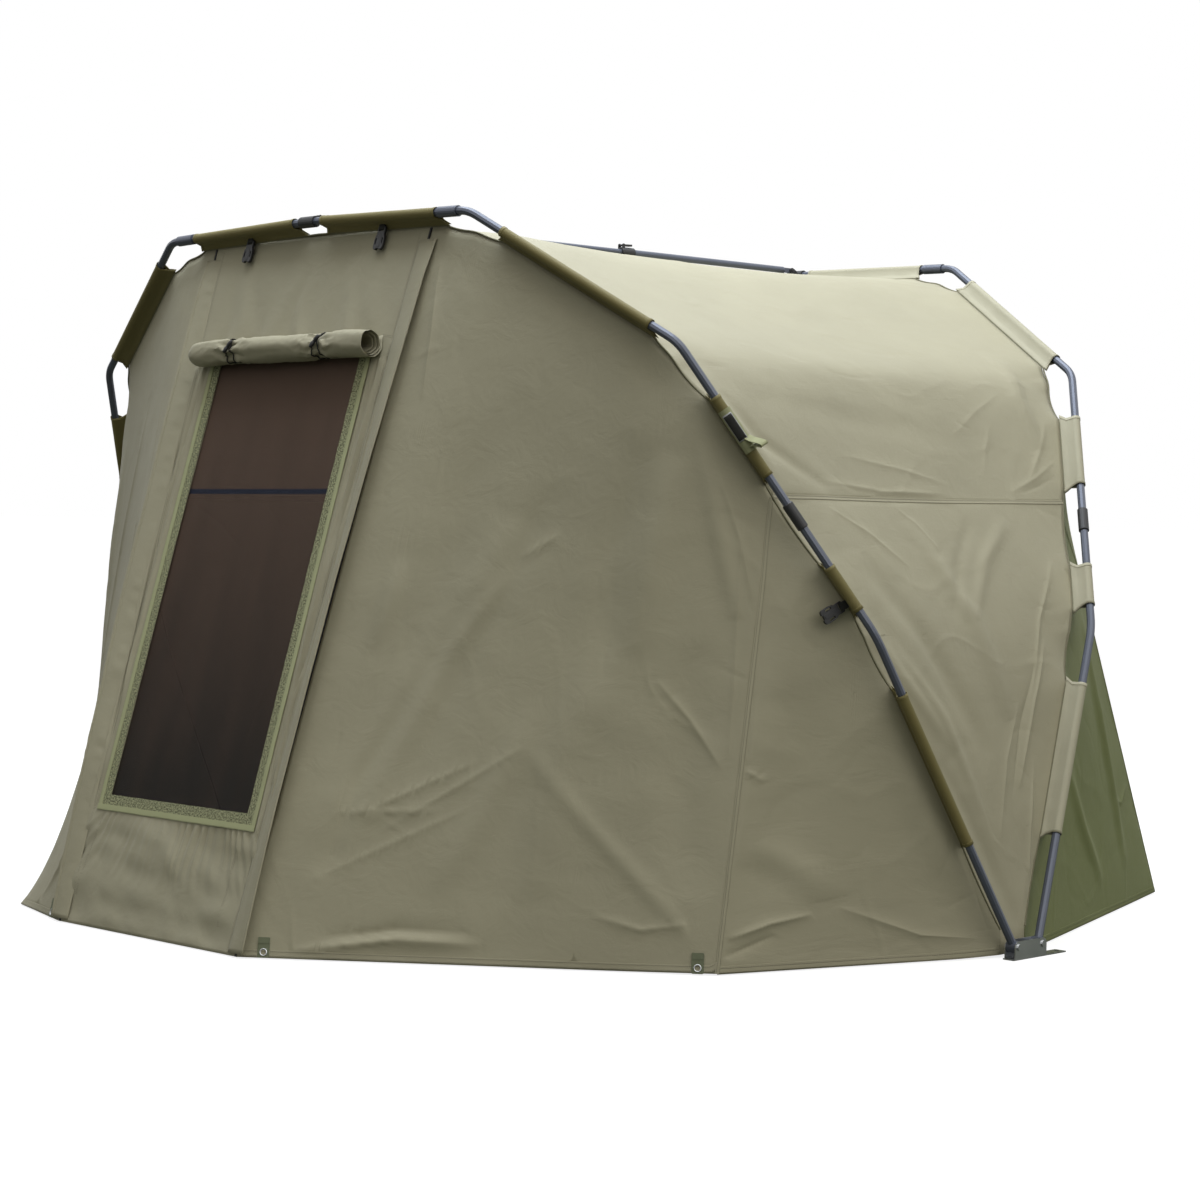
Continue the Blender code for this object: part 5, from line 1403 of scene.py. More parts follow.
# Sleeves
def sleeve_rows(end, hand, start, finish_point):
    """Rows of points round one sleeve: up its front, round the tube, and down its back."""
    a = on_rib(end, hand * start.x, start.y)
    b = on_rib(end, hand * finish_point.x, finish_point.y)
    run = finish_point - start
    normal = Vector((run.y, -run.x)).normalized()
    _, up, middle = rib_axes(end)
    hang = (Vector((hand * normal.x, 0, 0)) + up * normal.y) * SKIN_DROP + middle * SKIN_SET_BACK
    reach = hang.length
    inward = hang.normalized()
    along = (b - a).normalized()
    across = along.cross(inward).normalized()
    length = (b - a).length
    radius = TUBE_RADIUS + SLEEVE_GAP + CANVAS_THICKNESS
    neck = radius / cos(SLEEVE_NECK)
    flap = [(neck + (reach - neck) * share, SLEEVE_FLAP_HALF) for share in (1.0, 0.8, 0.6, 0.4, 0.2)]
    turns = [SLEEVE_NECK + (2 * pi - 2 * SLEEVE_NECK) * share for share in shares_of(16)]
    outline = [*flap, *[(radius * cos(turn), radius * sin(turn)) for turn in turns]]
    outline += [(x, -y) for x, y in reversed(flap)]
    hem = HEM_WIDTH / length
    ramp = hem * 1.06
    clear = hem * 1.3
    inner = [share for share in shares_of(max(6, round(length / SLEEVE_STEP))) if clear < share < 1 - clear]
    shares = [0.0, hem, ramp, *inner, 1 - ramp, 1 - hem, 1.0]
    slant = min(SLEEVE_SLANT, length * 0.16)
    rows = []
    for share in shares:
        row = []
        doubled = HEM_RISE if share <= hem or share >= 1 - hem else 0.0
        for x, y in outline:
            drop = max(0.0, (x - neck) / (reach - neck))
            lie = length * share - slant * drop * (1 - 2 * share)
            outward = Vector((x, y)).normalized() if drop == 0 else Vector((0, 1 if y > 0 else -1))
            spot = a + along * lie + inward * (x + outward.x * doubled) + across * (y + outward.y * doubled)
            wrinkle = noise.noise(spot * 21.0) * 0.0024 + noise.noise(spot * 60.0) * 0.0007
            pull = sin(pi * min(1.0, drop * 1.25)) if drop else 0.12
            spot += across * (wrinkle * pull)
            row.append(spot)
        rows.append(row)
    return rows


def piping_points(end, hand):
    """The skin's edge from the crown to the foot, cut in between the sleeves."""
    places = [place for i, place in enumerate(edge_cuts(end)) if i % 2 == (hand + 1) // 2]
    return spaced([place + cut for place, cut in places], 0.012)


class BIVVY_OT_sleeves(bpy.types.Operator):
    """Sews the sleeves round both ribs, and the piping along the skin's edges"""

    bl_idname = "bivvy.sleeves"
    bl_label = "Sleeves and piping"

    def execute(self, context):
        for end in (FRONT, REAR):
            for hand, side in SIDES.items():
                name = f"{ENDS[end]}_sleeves_{side}"
                bm = bmesh.new()
                length = 0.0
                for a, b, shares in SLEEVE_SPANS:
                    start = between(a, b, shares[0])
                    stop = between(a, b, shares[1])
                    loft(sleeve_rows(end, hand, start, stop), bm=bm)
                    length += (stop - start).length
                body = BODY_OF_END[end]
                thing = piece(f"{name}_cloth", bm, f"{ENDS[end]}_sleeve", body, (name,))
                area = sheet_area(thing)
                thickened(thing, CANVAS_THICKNESS, 0.0)
                cord = tube(piping_points(end, hand), PIPING_RADIUS)
                cord = piece(f"{name}_piping", cord, "piping", body, (name,))
                declare_cloth(thing, area, SLEEVE_WIDTH, length * 1.1, "stretched", with_pieces=[cord])
        return {"FINISHED"}


# Door
def door_axes():
    """The door's top edge line, the way down its face and the way out of it."""
    edge = skin_edge()
    for a, b in zip(edge, edge[1:]):
        if a.x <= DOOR_TOP_HALF <= b.x:
            spot = a.lerp(b, (DOOR_TOP_HALF - a.x) / (b.x - a.x))
            break
    top = on_rib(FRONT, 0.0, spot.y, SKIN_SET_BACK)
    foot = Vector((0, HUB_Y - DOOR_REACH, 0))
    down = (foot - top).normalized()
    out = Vector((1, 0, 0)).cross(down)
    if out.y > 0:
        out = -out
    return top + down * DOOR_EDGE_GAP, down, out


DOOR_TOP, DOOR_DOWN, DOOR_OUT = door_axes()
DOOR_LENGTH = (DOOR_TOP.z - 0.0022) / -DOOR_DOWN.z


def down_to(height):
    return (DOOR_TOP.z - height) / -DOOR_DOWN.z


def on_door(x, down, lift=0.0):
    return DOOR_TOP + Vector((x, 0, 0)) + DOOR_DOWN * down + DOOR_OUT * lift


def door_half(down):
    return DOOR_TOP_HALF + (DOOR_BOTTOM_HALF - DOOR_TOP_HALF) * down / DOOR_LENGTH


DOOR_MATRIX = placed(DOOR_TOP, Vector((1, 0, 0)), -DOOR_DOWN, DOOR_OUT)


def flat_grid(half_x, top, foot, cell, tall=None):
    """A flat grid from one height to another, centred on x = 0."""
    bm = bmesh.new()
    bmesh.ops.create_grid(
        bm,
        x_segments=max(2, round(half_x * 2 / cell)),
        y_segments=max(2, round((top - foot) / (tall or cell))),
        size=0.5,
    )
    bmesh.ops.scale(bm, vec=(half_x * 2, top - foot, 1), verts=bm.verts)
    bmesh.ops.translate(bm, vec=(0, (top + foot) / 2, 0), verts=bm.verts)
    return bm


def sliced(bm, point, normal, outer=False):
    bmesh.ops.bisect_plane(
        bm,
        geom=[*bm.verts, *bm.edges, *bm.faces],
        plane_co=point,
        plane_no=normal,
        clear_outer=outer,
        dist=0.00001,
    )


def door_cloth():
    bm = flat_grid(DOOR_TOP_HALF, DOOR_HEAD_RISE, -DOOR_LENGTH, 0.0034, 0.008)
    lean = DOOR_TOP_HALF - DOOR_BOTTOM_HALF
    for hand in (LEFT, RIGHT):
        normal = Vector((hand * DOOR_LENGTH, -lean, 0)).normalized()
        sliced(bm, (hand * DOOR_TOP_HALF, 0, 0), normal, outer=True)
        sliced(bm, (hand * WINDOW_HALF, 0, 0), (1, 0, 0))
    head = -down_to(WINDOW_HEAD)
    sill = -down_to(WINDOW_SILL)
    for level in (head, sill):
        sliced(bm, (0, level, 0), (0, 1, 0))
    middles = [(face, face.calc_center_median()) for face in bm.faces]
    hole = [face for face, middle in middles if abs(middle.x) < WINDOW_HALF and sill < middle.y < head]
    bmesh.ops.delete(bm, geom=hole, context="FACES")
    for vert in bm.verts:
        x, y, _ = vert.co
        vert.co.z = door_lift(x, -y)
        vert.co.y += head_rise(x) * within((y + 0.05) / 0.05)
    bmesh.ops.transform(bm, matrix=DOOR_MATRIX, verts=bm.verts)
    return bm


def head_rise(x):
    """How far the skin's edge over the door lies above the door's straight hinge line."""
    edge = skin_edge()
    for a, b in zip(edge, edge[1:]):
        if a.x <= abs(x) <= b.x:
            rise = a.lerp(b, (abs(x) - a.x) / (b.x - a.x)).y
            over = on_rib(FRONT, 0.0, rise, SKIN_SET_BACK) - DOOR_TOP
            return max(0.0, over.dot(-DOOR_DOWN) - DOOR_HEAD_RISE)
    return 0.0


def door_lift(x, down):
    """How far the door's cloth stands from its flat face: gathers beside and below the window's tape."""
    height = DOOR_TOP.z + DOOR_DOWN.z * down
    edge = within((door_half(down) - abs(x)) / 0.02)
    ends = within(down / 0.04) * within((DOOR_LENGTH - down) / 0.02)
    lift = 0.0
    wide = WINDOW_HALF + TRIM_WIDTH
    if abs(x) > wide and WINDOW_SILL - TRIM_WIDTH < height < WINDOW_HEAD:
        near = min(1.0, (abs(x) - wide) / 0.012)
        drift = 3.2 * stray(x * 2, height * 3.1, 1.0) + 1.3 * stray(x, height * 9, 4.0)
        swell = 0.55 + 0.9 * abs(stray(x * 3, height * 4.3, 9.0))
        lift += 0.0030 * near * swell * sin(GATHER_PITCH * abs(x) + drift * 1.6 + 3.0 * height)
        lift += 0.0036 * near * sin(GATHER_PITCH * 0.45 * abs(x) + 1.7 * drift - 5.0 * height)
    below = WINDOW_SILL - TRIM_WIDTH - height
    if below > 0:
        fade = max(0.0, 1 - below / 0.15)
        lean = 0.5 * (x - 0.05)
        wave = sin(235.0 * (x - lean * below * 3) + 5.0 * stray(x * 13, below * 5, 2.0))
        gather = 0.0052 * abs(stray(x * 6, 1.0, below * 3)) + 0.0016 * within(0.5 + x * 3)
        lift += gather * wave * fade * min(1.0, below / 0.006)
        lift += 0.0085 * stray(x * 4.0 + height * 3.0, height * 15.0, 5.0) * min(1.0, below / 0.05)
        lift += 0.0030 * stray(x * 16.0, height * 22.0 + x * 6, 8.0) * min(1.0, below / 0.05)
    over = height - ROLL_HEIGHT - 0.02
    if over > 0:
        fade = max(0.0, 1 - over / 0.20)
        lift += 0.0034 * fade * sin(46.0 * x + 4.0 * stray(x * 8, over * 6, 3.0))
        lift += 0.0030 * stray(x * 11.0, over * 2.5, 6.0)
    lift += 0.0030 * stray(x * 4.0, height * 3.0, 7.0)
    if abs(x) <= wide and WINDOW_SILL - TRIM_WIDTH <= height <= WINDOW_HEAD:
        lift = min(lift, 0.0005)
    return lift * edge * ends


def slab(outline, thickness, matrix, holes=(), bm=None):
    """A flat plate from an outline in a plane, thickened along its own z."""
    bm = bm or bmesh.new()
    before = set(bm.verts)
    edges = []
    for loop in (outline, *holes):
        verts = [bm.verts.new((x, y, 0)) for x, y in loop]
        edges += [bm.edges.new(pair) for pair in zip(verts, [*verts[1:], verts[0]])]
    filled = bmesh.ops.triangle_fill(bm, use_beauty=True, use_dissolve=False, edges=edges)["geom"]
    faces = [item for item in filled if isinstance(item, bmesh.types.BMFace)]
    grown = bmesh.ops.extrude_face_region(bm, geom=faces, use_keep_orig=True)
    upper = [item for item in grown["geom"] if isinstance(item, bmesh.types.BMVert)]
    bmesh.ops.translate(bm, verts=upper, vec=(0, 0, thickness))
    bmesh.ops.transform(bm, matrix=matrix, verts=[vert for vert in bm.verts if vert not in before])
    return bm


def tape(start, end, width, lift, seed, bm):
    """A strip of woven tape along a straight line on the door, with slightly uneven edges."""
    across = DOOR_OUT.cross((end - start).normalized()).normalized()
    rows = []
    for i, point in enumerate(spaced([start, end], TAPE_STEP)):
        shift = stray(i * TAPE_STEP * 18, seed, 0.3) * TAPE_WAVE
        rise = lift + stray(i * TAPE_STEP * 30, seed, 4.3) * TAPE_WAVE
        section = [(side * width + shift, rise + height * TAPE_THICKNESS) for side, height in TAPE_SECTION]
        rows.append([point + across * side + DOOR_OUT * height for side, height in section])
    return loft(rows, closed=True, caps=True, bm=bm)


TAPE_SECTION = ((-0.5, 0.0), (-0.5, 1.0), (-0.22, 1.25), (0.0, 1.1), (0.22, 1.25), (0.5, 1.0), (0.5, 0.0))
TAPE_THICKNESS = 0.0009
TAPE_WAVE = 0.0006
TAPE_STEP = 0.012

# Stitched lines on the door, as (x, distance down it)
DOOR_LINES = (
    ((0.322, 0.252), (0.362, 0.258)),
    ((0.243, 1.422), (0.247, 1.515), (0.249, 1.612)),
    ((-0.270, 1.408), (-0.285, 1.480), (-0.300, 1.600)),
)


def zip_edge(hand, down, outside=0.0, lift=0.0):
    return on_door(hand * (door_half(down) + outside), down, lift)


class BIVVY_OT_door(bpy.types.Operator):
    """Sews the door's cloth, its window of mesh and the tape round it"""

    bl_idname = "bivvy.door"
    bl_label = "Door and window"

    def execute(self, context):
        across = (1.0, 0.0, 0.0)
        upward = tuple(-DOOR_DOWN)
        cloth = piece("door_cloth", door_cloth(), "canvas", "door", ("door_panel",), outward=False)
        lay_uv(cloth, across, upward)
        head = -down_to(WINDOW_HEAD)
        sill = -down_to(WINDOW_SILL)
        netting = flat_grid(WINDOW_HALF + NET_LAP, head + NET_LAP, sill - NET_LAP, 0.03)
        for vert in netting.verts:
            x, y, _ = vert.co
            sag = (1 - (x / (WINDOW_HALF + 0.01)) ** 2) * sin(pi * (head - y) / (head - sill + 0.02))
            vert.co.z = -0.0018 - 0.003 * max(0.0, sag) - 0.001 * (1 + stray(x * 5, y * 2, 0.4))
        bmesh.ops.transform(netting, matrix=DOOR_MATRIX, verts=netting.verts)
        window = piece("window_netting", netting, "mesh", "door", ("window_mesh",), outward=False)
        lay_uv(window, across, upward)
        declare_cloth(window, sheet_area(window), *NET_SIZE, "stretched")
        binding = bmesh.new()
        hem = bmesh.new()
        inner = TRIM_WIDTH - BINDING_WIDTH
        foot = -sill + TRIM_WIDTH
        for hand in (LEFT, RIGHT):
            for x, low, width, lift, seed, bm in (
                (WINDOW_HALF + inner + BINDING_WIDTH / 2, foot, BINDING_WIDTH, 0.0024, 3.0, binding),
                (WINDOW_HALF + inner / 2, -sill + inner, inner, 0.0012, 5.0, hem),
            ):
                tape(on_door(hand * x, -head), on_door(hand * x, low), width, lift, hand * seed, bm)
        wide = WINDOW_HALF + TRIM_WIDTH
        for x, low, width, lift, seed, bm in (
            (wide, foot - BINDING_WIDTH / 2, BINDING_WIDTH, 0.0028, 8.0, binding),
            (wide - 0.012, -sill + inner / 2, inner, 0.0014, 6.0, hem),
        ):
            tape(on_door(-x, low), on_door(x, low), width, lift, seed, bm)
        trim = piece("window_tape", binding, "webbing", "door", ("window_trim",))
        piece("netting_hem", hem, "net_hem", "door", ("window_trim",))
        stitched = bmesh.new()
        faces = faces_of(cloth)
        for line in DOOR_LINES:
            laid_tape([on_door(x, down) for x, down in line], faces, LINE_WIDTH, LINE_HEIGHT, bm=stitched)
        for hand in (LEFT, RIGHT):
            path = [zip_edge(hand, down, -0.030) for down in (0.010, DOOR_LENGTH - 0.010)]
            laid_tape(path, faces, LINE_WIDTH, LINE_HEIGHT, bm=stitched)
        piece("door_stitching", stitched, "stitching", "door", outward=False)
        area = sheet_area(cloth)
        declare_cloth(cloth, area, 2 * DOOR_TOP_HALF, DOOR_LENGTH, "stretched", with_pieces=[trim])
        thickened(cloth, CANVAS_THICKNESS, 0.0)
        return {"FINISHED"}


# A storm flap's section, from its seam to its doubled edge: the way across and the height, then the shares
# of the opening, the ripple in tenths of a millimetre, the pucker and the slip
FLAP_SECTION = (
    (-0.0260, 0.0010, 0.00, 0, 0.0, 0),
    (-0.0200, 0.0022, 0.00, 0, 0.5, 0),
    (-0.0120, 0.0040, 0.00, 6, 1.0, 0),
    (-0.0020, 0.0035, 0.34, 10, 1.0, 0),
    (0.0080, 0.0030, 0.60, 10, 0.0, 0),
    (0.0180, 0.0025, 0.82, 8, 0.0, 0),
    (0.0270, 0.0022, 0.96, 0, 0.0, 1),
    (0.0272, 0.0034, 0.97, 0, 0.0, 1),
    (0.0330, 0.0036, 1.03, 0, 0.0, 1),
    (0.0342, 0.0024, 1.03, 0, 0.0, 1),
    (0.0330, 0.0012, 1.02, 0, 0.0, 1),
)
FLAP_STEPS = 150
FLAP_WIDTH = 0.075


class BIVVY_OT_storm_flaps(bpy.types.Operator):
    """Sews the flaps that cover the zips"""

    bl_idname = "bivvy.storm_flaps"
    bl_label = "Storm flaps"

    def execute(self, context):
        for hand, side in SIDES.items():
            rows = []
            for share in shares_of(FLAP_STEPS):
                down = FLAP_START + (DOOR_LENGTH - FLAP_START - 0.006) * share
                start_rise = min(1.0, 0.3 + share * 14)
                ripple = stray(down * 9, hand * 4.0, 0.2) / 10000
                wave = stray(down * 4, hand * 9.0, 1.2)
                open_by = 0.0055 + FLAP_OPENING * sin(pi * share**1.25) ** 0.8 * (1 + 0.25 * wave)
                pucker = 0.0
                if hand == LEFT:
                    open_by *= 0.72
                    pucker = 0.0052 * abs(stray(down * 24, 3.0, 1.0)) * sin(pi * share)
                    pucker += 0.0028 * stray(down * 61, 1.0, 2.0)
                slip = 0.0012 * wave + pucker * 0.6
                row = []
                for x, rise, opened, rippled, puckered, slipped in FLAP_SECTION:
                    lift = rise + open_by * opened + ripple * rippled + pucker * puckered
                    row.append(zip_edge(hand, down, x + slip * slipped, lift * start_rise))
                rows.append(row)
            name = f"storm_flap_{side}"
            thing = piece(f"{name}_cloth", loft(rows), "canvas", "door", (name,))
            lay_uv(thing, (1, 0, 0), tuple(-DOOR_DOWN))
            declare_cloth(thing, sheet_area(thing), FLAP_WIDTH, DOOR_LENGTH, "stretched")
            thickened(thing, CANVAS_THICKNESS * 1.5, 0.0)
        return {"FINISHED"}


# Rolled cover
ROLL_LIFT = 0.0013 + ROLL_RADIUS
ROLL_TURNS = 3.2
ROLL_ROWS = 170
ROLL_STEPS = 150

# How far a toggle's cord goes round the roll, and where its two strands lie beside the toggle: the shift
# along the roll and the slant
CORD_TURN = radians(300)
CORD_LAYS = ((-0.004, 0.012), (0.004, -0.008))

# Half of a toggle's barrel, as (place along it, radius), and how far it is turned on the roll
BARREL = ((-0.01800, 0.0018), (-0.01692, 0.0034), (-0.01440, 0.0042), (-0.00432, 0.0052), (-0.00288, 0.0040))
BARREL_TURN = radians(52)


def roll_place(x, radius, angle):
    """A point on the roll: the angle starts out of the door and turns up its face."""
    ending = max(0.0, (-x - ROLL_HALF + 0.12) / 0.12)
    sag = 0.0030 * stray(x * 7, 2.0, 5.0) + 0.004 * ending
    centre = on_door(x, down_to(ROLL_HEIGHT) + sag, ROLL_LIFT)
    return centre + DOOR_OUT * (radius * cos(angle)) - DOOR_DOWN * (radius * sin(angle))


def roll_radius(x, angle, turn):
    """The cloth's distance from the roll's middle: pinched at the toggles and creased beside them."""
    pinch = 0.0
    near = 0.0
    for hand in (LEFT, RIGHT):
        away = x - hand * TOGGLE_X
        pinch += exp(-((away / 0.016) ** 2))
        near += exp(-((away / 0.055) ** 2))
    radius = ROLL_RADIUS - 0.0016 - 0.0043 * (ROLL_TURNS - turn)
    radius -= 0.0072 * pinch
    radius += 0.0034 * stray(x * 9, 4.0, 0.0)
    radius += 0.0036 * stray(x * 4.5, cos(angle) * 1.5, sin(angle) * 1.5)
    creases = stray(x * 22, cos(angle) * 3.2, sin(angle) * 3.2 + 2.0)
    ribs = sin(angle * 6 + 7.0 * stray(x * 16, 0.0, 1.0))
    sharp = 1 - min(1.0, abs(stray(x * 26, cos(angle) * 2.1, sin(angle) * 2.1 + 6.0)) * 4.5)
    radius -= 0.0070 * near * abs(creases) + 0.0026 * near * ribs
    radius += 0.0030 * sharp * (0.25 + 0.75 * near)
    ending = max(0.0, (-x - ROLL_HALF + 0.035) / 0.035)
    radius *= 1 - 0.42 * ending**2.2
    return max(0.004, radius)


class BIVVY_OT_cover_roll(bpy.types.Operator):
    """Rolls the window's cover up above it"""

    bl_idname = "bivvy.cover_roll"
    bl_label = "Rolled window cover"

    def execute(self, context):
        rows = []
        for along in shares_of(ROLL_ROWS):
            x = ROLL_HALF * (2 * along - 1)
            row = []
            for share in shares_of(ROLL_STEPS):
                turn = ROLL_TURNS * share
                angle = pi + 2 * pi * (ROLL_TURNS - turn)
                inner = (1 - share) ** 1.5
                place = x * (1 - 0.06 * inner)
                row.append(roll_place(place, roll_radius(place, angle, turn), angle))
            row.append(on_door(x * 0.985, down_to(ROLL_HEIGHT) - 0.018, 0.0030))
            row.append(on_door(x * 0.975, down_to(ROLL_HEIGHT) - 0.030, 0.0012))
            rows.append(row)
        thing = piece("cover_roll_cloth", loft(rows), "canvas", "door", ("window_cover_roll",))
        lay_uv(thing, (1, 0, 0), (0, 0.5, 0.9))
        area = sheet_area(thing)
        declare_cloth(thing, area, 2 * ROLL_HALF, area / (2 * ROLL_HALF) * 1.02, "gathered")
        thickened(thing, CANVAS_THICKNESS, 0.0)
        return {"FINISHED"}


class BIVVY_OT_roll_toggles(bpy.types.Operator):
    """Ties the roll up with two elastic cords, each with a barrel toggle"""

    bl_idname = "bivvy.roll_toggles"
    bl_label = "Roll toggles"

    def execute(self, context):
        for hand, side_name in SIDES.items():
            cords = bmesh.new()
            for shift, lean in CORD_LAYS:
                path = []
                for share in shares_of(40):
                    angle = CORD_TURN * (share - 0.5)
                    x = hand * TOGGLE_X + shift + lean * sin(angle)
                    radius = roll_radius(x, angle, ROLL_TURNS) + CORD_RADIUS + CANVAS_THICKNESS
                    path.append(roll_place(x, radius, angle))
                tube(path, CORD_RADIUS, sides=8, bm=cords)
            turn = radians(-4)
            middle = roll_place(hand * TOGGLE_X + 0.004, ROLL_RADIUS - 0.0010, turn)
            lay = (Vector((1, 0, 0)) * cos(BARREL_TURN) - DOOR_DOWN * sin(BARREL_TURN)).normalized()
            side = lay.cross(DOOR_OUT).normalized()
            over = side.cross(lay).normalized()
            rows = []
            for place, radius in (*BARREL, *((-place, radius) for place, radius in reversed(BARREL))):
                rows.append([middle + lay * place + spoke * radius for spoke in spokes(side, over, 14)])
            barrel = loft(rows, closed=True, caps=True)
            name = f"roll_toggle_{side_name}"
            piece(f"{name}_cord", cords, "black_web", "door", (name,))
            piece(f"{name}_barrel", barrel, "moulding", "door", (name,))
        return {"FINISHED"}


# Buckles
BUCKLE_OUTLINE = (
    (0.0091, 0.0034), (0.0108, 0.0034), (0.0125, 0.0018), (0.0125, -0.0100), (0.0118, -0.0145),
    (0.0148, -0.0190), (0.0164, -0.0290), (0.0165, -0.0430), (0.0150, -0.0500), (0.0105, -0.0520),
    (0.0062, -0.0520), (0.0046, -0.0492),
)
BUCKLE_WINDOW = ((0.0086, -0.0240), (0.0128, -0.0240), (0.0134, -0.0390), (0.0092, -0.0390))
BUCKLE_RIB = ((0.0048, -0.0170), (0.0060, -0.0300), (0.0048, -0.0465))


def on_axes(place, up, out):
    """A placing whose y goes up and whose z goes out."""
    return placed(place, up.cross(out), up, out)


def buckle_axes(kind, side):
    """Where a buckle's bar lies on its hinge, with y up the buckle and z out of the cloth."""
    for joint in frame["joints"]:
        if joint["name"] == f"{kind}_buckle_swing_{side}":
            place = Vector(joint["pos_m"])
            axis = Vector(joint["axis"]).normalized()
    low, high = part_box(f"{kind}_buckle_{side}")
    point = (Vector(low) + Vector(high)) / 2 - place
    point = (point - axis * point.dot(axis)).normalized()
    out = axis.cross(point)
    if out.dot(place - HEART) < 0:
        out = -out
    return on_axes(place, -point, out)


def with_mirror(half):
    """An outline's right half and its mirror image."""
    return [*half, *((-x, y) for x, y in reversed(half))]


def buckle_body(matrix):
    """Half of a side-release buckle."""
    throat = [(-0.0091, -0.0068), (0.0091, -0.0068)]
    outline = [*with_mirror(BUCKLE_OUTLINE), *throat]
    holes = [BUCKLE_WINDOW, [(-x, y) for x, y in BUCKLE_WINDOW]]
    bm = slab(outline, BUCKLE_THICKNESS, Matrix.Translation((0, 0, -BUCKLE_THICKNESS / 2)), holes)
    thick = BUCKLE_THICKNESS + 0.0014
    slab(with_mirror(BUCKLE_RIB), thick, Matrix.Translation((0, 0, -thick / 2)), bm=bm)
    tube([(-0.0105, 0, 0), (0.0105, 0, 0)], BUCKLE_BAR_RADIUS, sides=14, bm=bm)
    bmesh.ops.transform(bm, matrix=matrix, verts=bm.verts)
    return bm


def ribbon(path, side, half_width, half_thickness, bm=None):
    """A flat band of webbing along a path."""
    rows = []
    for i, point in enumerate(path):
        half = side * half_width
        thick = heading(path, i).cross(side).normalized() * half_thickness
        rows.append([point - half - thick, point + half - thick, point + half + thick, point - half + thick])
    return loft(rows, closed=True, caps=True, bm=bm)


def web_band(matrix, sewn):
    """Webbing from a seam round a buckle's bar and back."""
    local = matrix.inverted() @ sewn
    away = Vector((0, local.y, local.z))
    way = away.normalized()
    side = Vector((0, -way.z, way.y))
    radius = BUCKLE_BAR_RADIUS + 0.0004 + WEB_THICKNESS / 2
    path = [away + side * WEB_THICKNESS * 0.6, way * 0.006 + side * radius * 0.9]
    for k in range(13):
        turn = radians(70 + 220 * k / 12)
        path.append((way * cos(turn) + side * sin(turn)) * radius)
    path += [way * 0.006 - side * radius * 0.9, away - side * WEB_THICKNESS * 0.6]
    bm = ribbon(path, Vector((1, 0, 0)), WEB_HALF, WEB_THICKNESS / 2)
    bmesh.ops.transform(bm, matrix=matrix, verts=bm.verts)
    return bm


class BIVVY_OT_buckles(bpy.types.Operator):
    """Hangs the four half buckles on their webbing"""

    bl_idname = "bivvy.buckles"
    bl_label = "Buckles"

    def execute(self, context):
        for hand, side in SIDES.items():
            x, rise = between(SHOULDER, KNEE, LEG_BUCKLE_SHARE)
            run = (KNEE - SHOULDER).normalized()
            leg_edge = on_rib(FRONT, hand * (x + run.y * SKIN_DROP), rise - run.x * SKIN_DROP, SKIN_SET_BACK)
            rise_here = between(CROWN, ELBOW, (BUCKLE_X - CROWN.x) / (ELBOW.x - CROWN.x)).y
            door_edge = on_rib(FRONT, hand * BUCKLE_X, rise_here - SKIN_DROP, SKIN_SET_BACK)
            places = (
                ("door", door_edge, on_rib(FRONT, hand * BUCKLE_X, rise_here)),
                ("leg", leg_edge, on_rib(FRONT, hand * x, rise)),
            )
            for kind, edge, pole in places:
                matrix = buckle_axes(kind, side)
                name = f"{kind}_buckle_{side}"
                body = piece(f"{name}_half", buckle_body(matrix), "moulding", name, (name,))
                applied(bevelled(body, BUCKLE_BEVEL))
                sewn = between(edge, pole, WEB_SEAM_SHARE) + DOOR_OUT * WEB_LIFT
                web = piece(f"{name}_web", web_band(matrix, sewn), "black_web", "front_frame")
                lay_uv(web, (1, 0, 0), (0, 0.6, 0.8))
        return {"FINISHED"}


# Peg tabs and strap
def facing(node):
    """The placing and half size of a flat CAD piece, with y up and z out of the tent."""
    bm = bmesh.new()
    bm.from_mesh(frame["nodes"][node].data)
    outer = [face for face in bm.faces if face.normal.dot(face.calc_center_median() - HEART) > 0]
    out = max(outer, key=lambda face: face.calc_area()).normal.copy()
    up = (Vector((0, 0, 1)) - out * out.z).normalized()
    ways = (up.cross(out), up, out)
    middle = Vector()
    sizes = []
    for way in ways:
        reaches = [vert.co.dot(way) for vert in bm.verts]
        middle += way * (min(reaches) + max(reaches)) / 2
        sizes.append((max(reaches) - min(reaches)) / 2)
    bm.free()
    return on_axes(middle, up, out), sizes


def box_round(half_x, half_y, corner, steps=4):
    """A box's outline with rounded corners."""
    points = []
    for x, y, start in ((1, 1, 0), (-1, 1, 90), (-1, -1, 180), (1, -1, 270)):
        middle = Vector((x * (half_x - corner), y * (half_y - corner)))
        turns = [radians(start + 90 * k / steps) for k in range(steps + 1)]
        points += [middle + Vector((corner * cos(turn), corner * sin(turn))) for turn in turns]
    return points


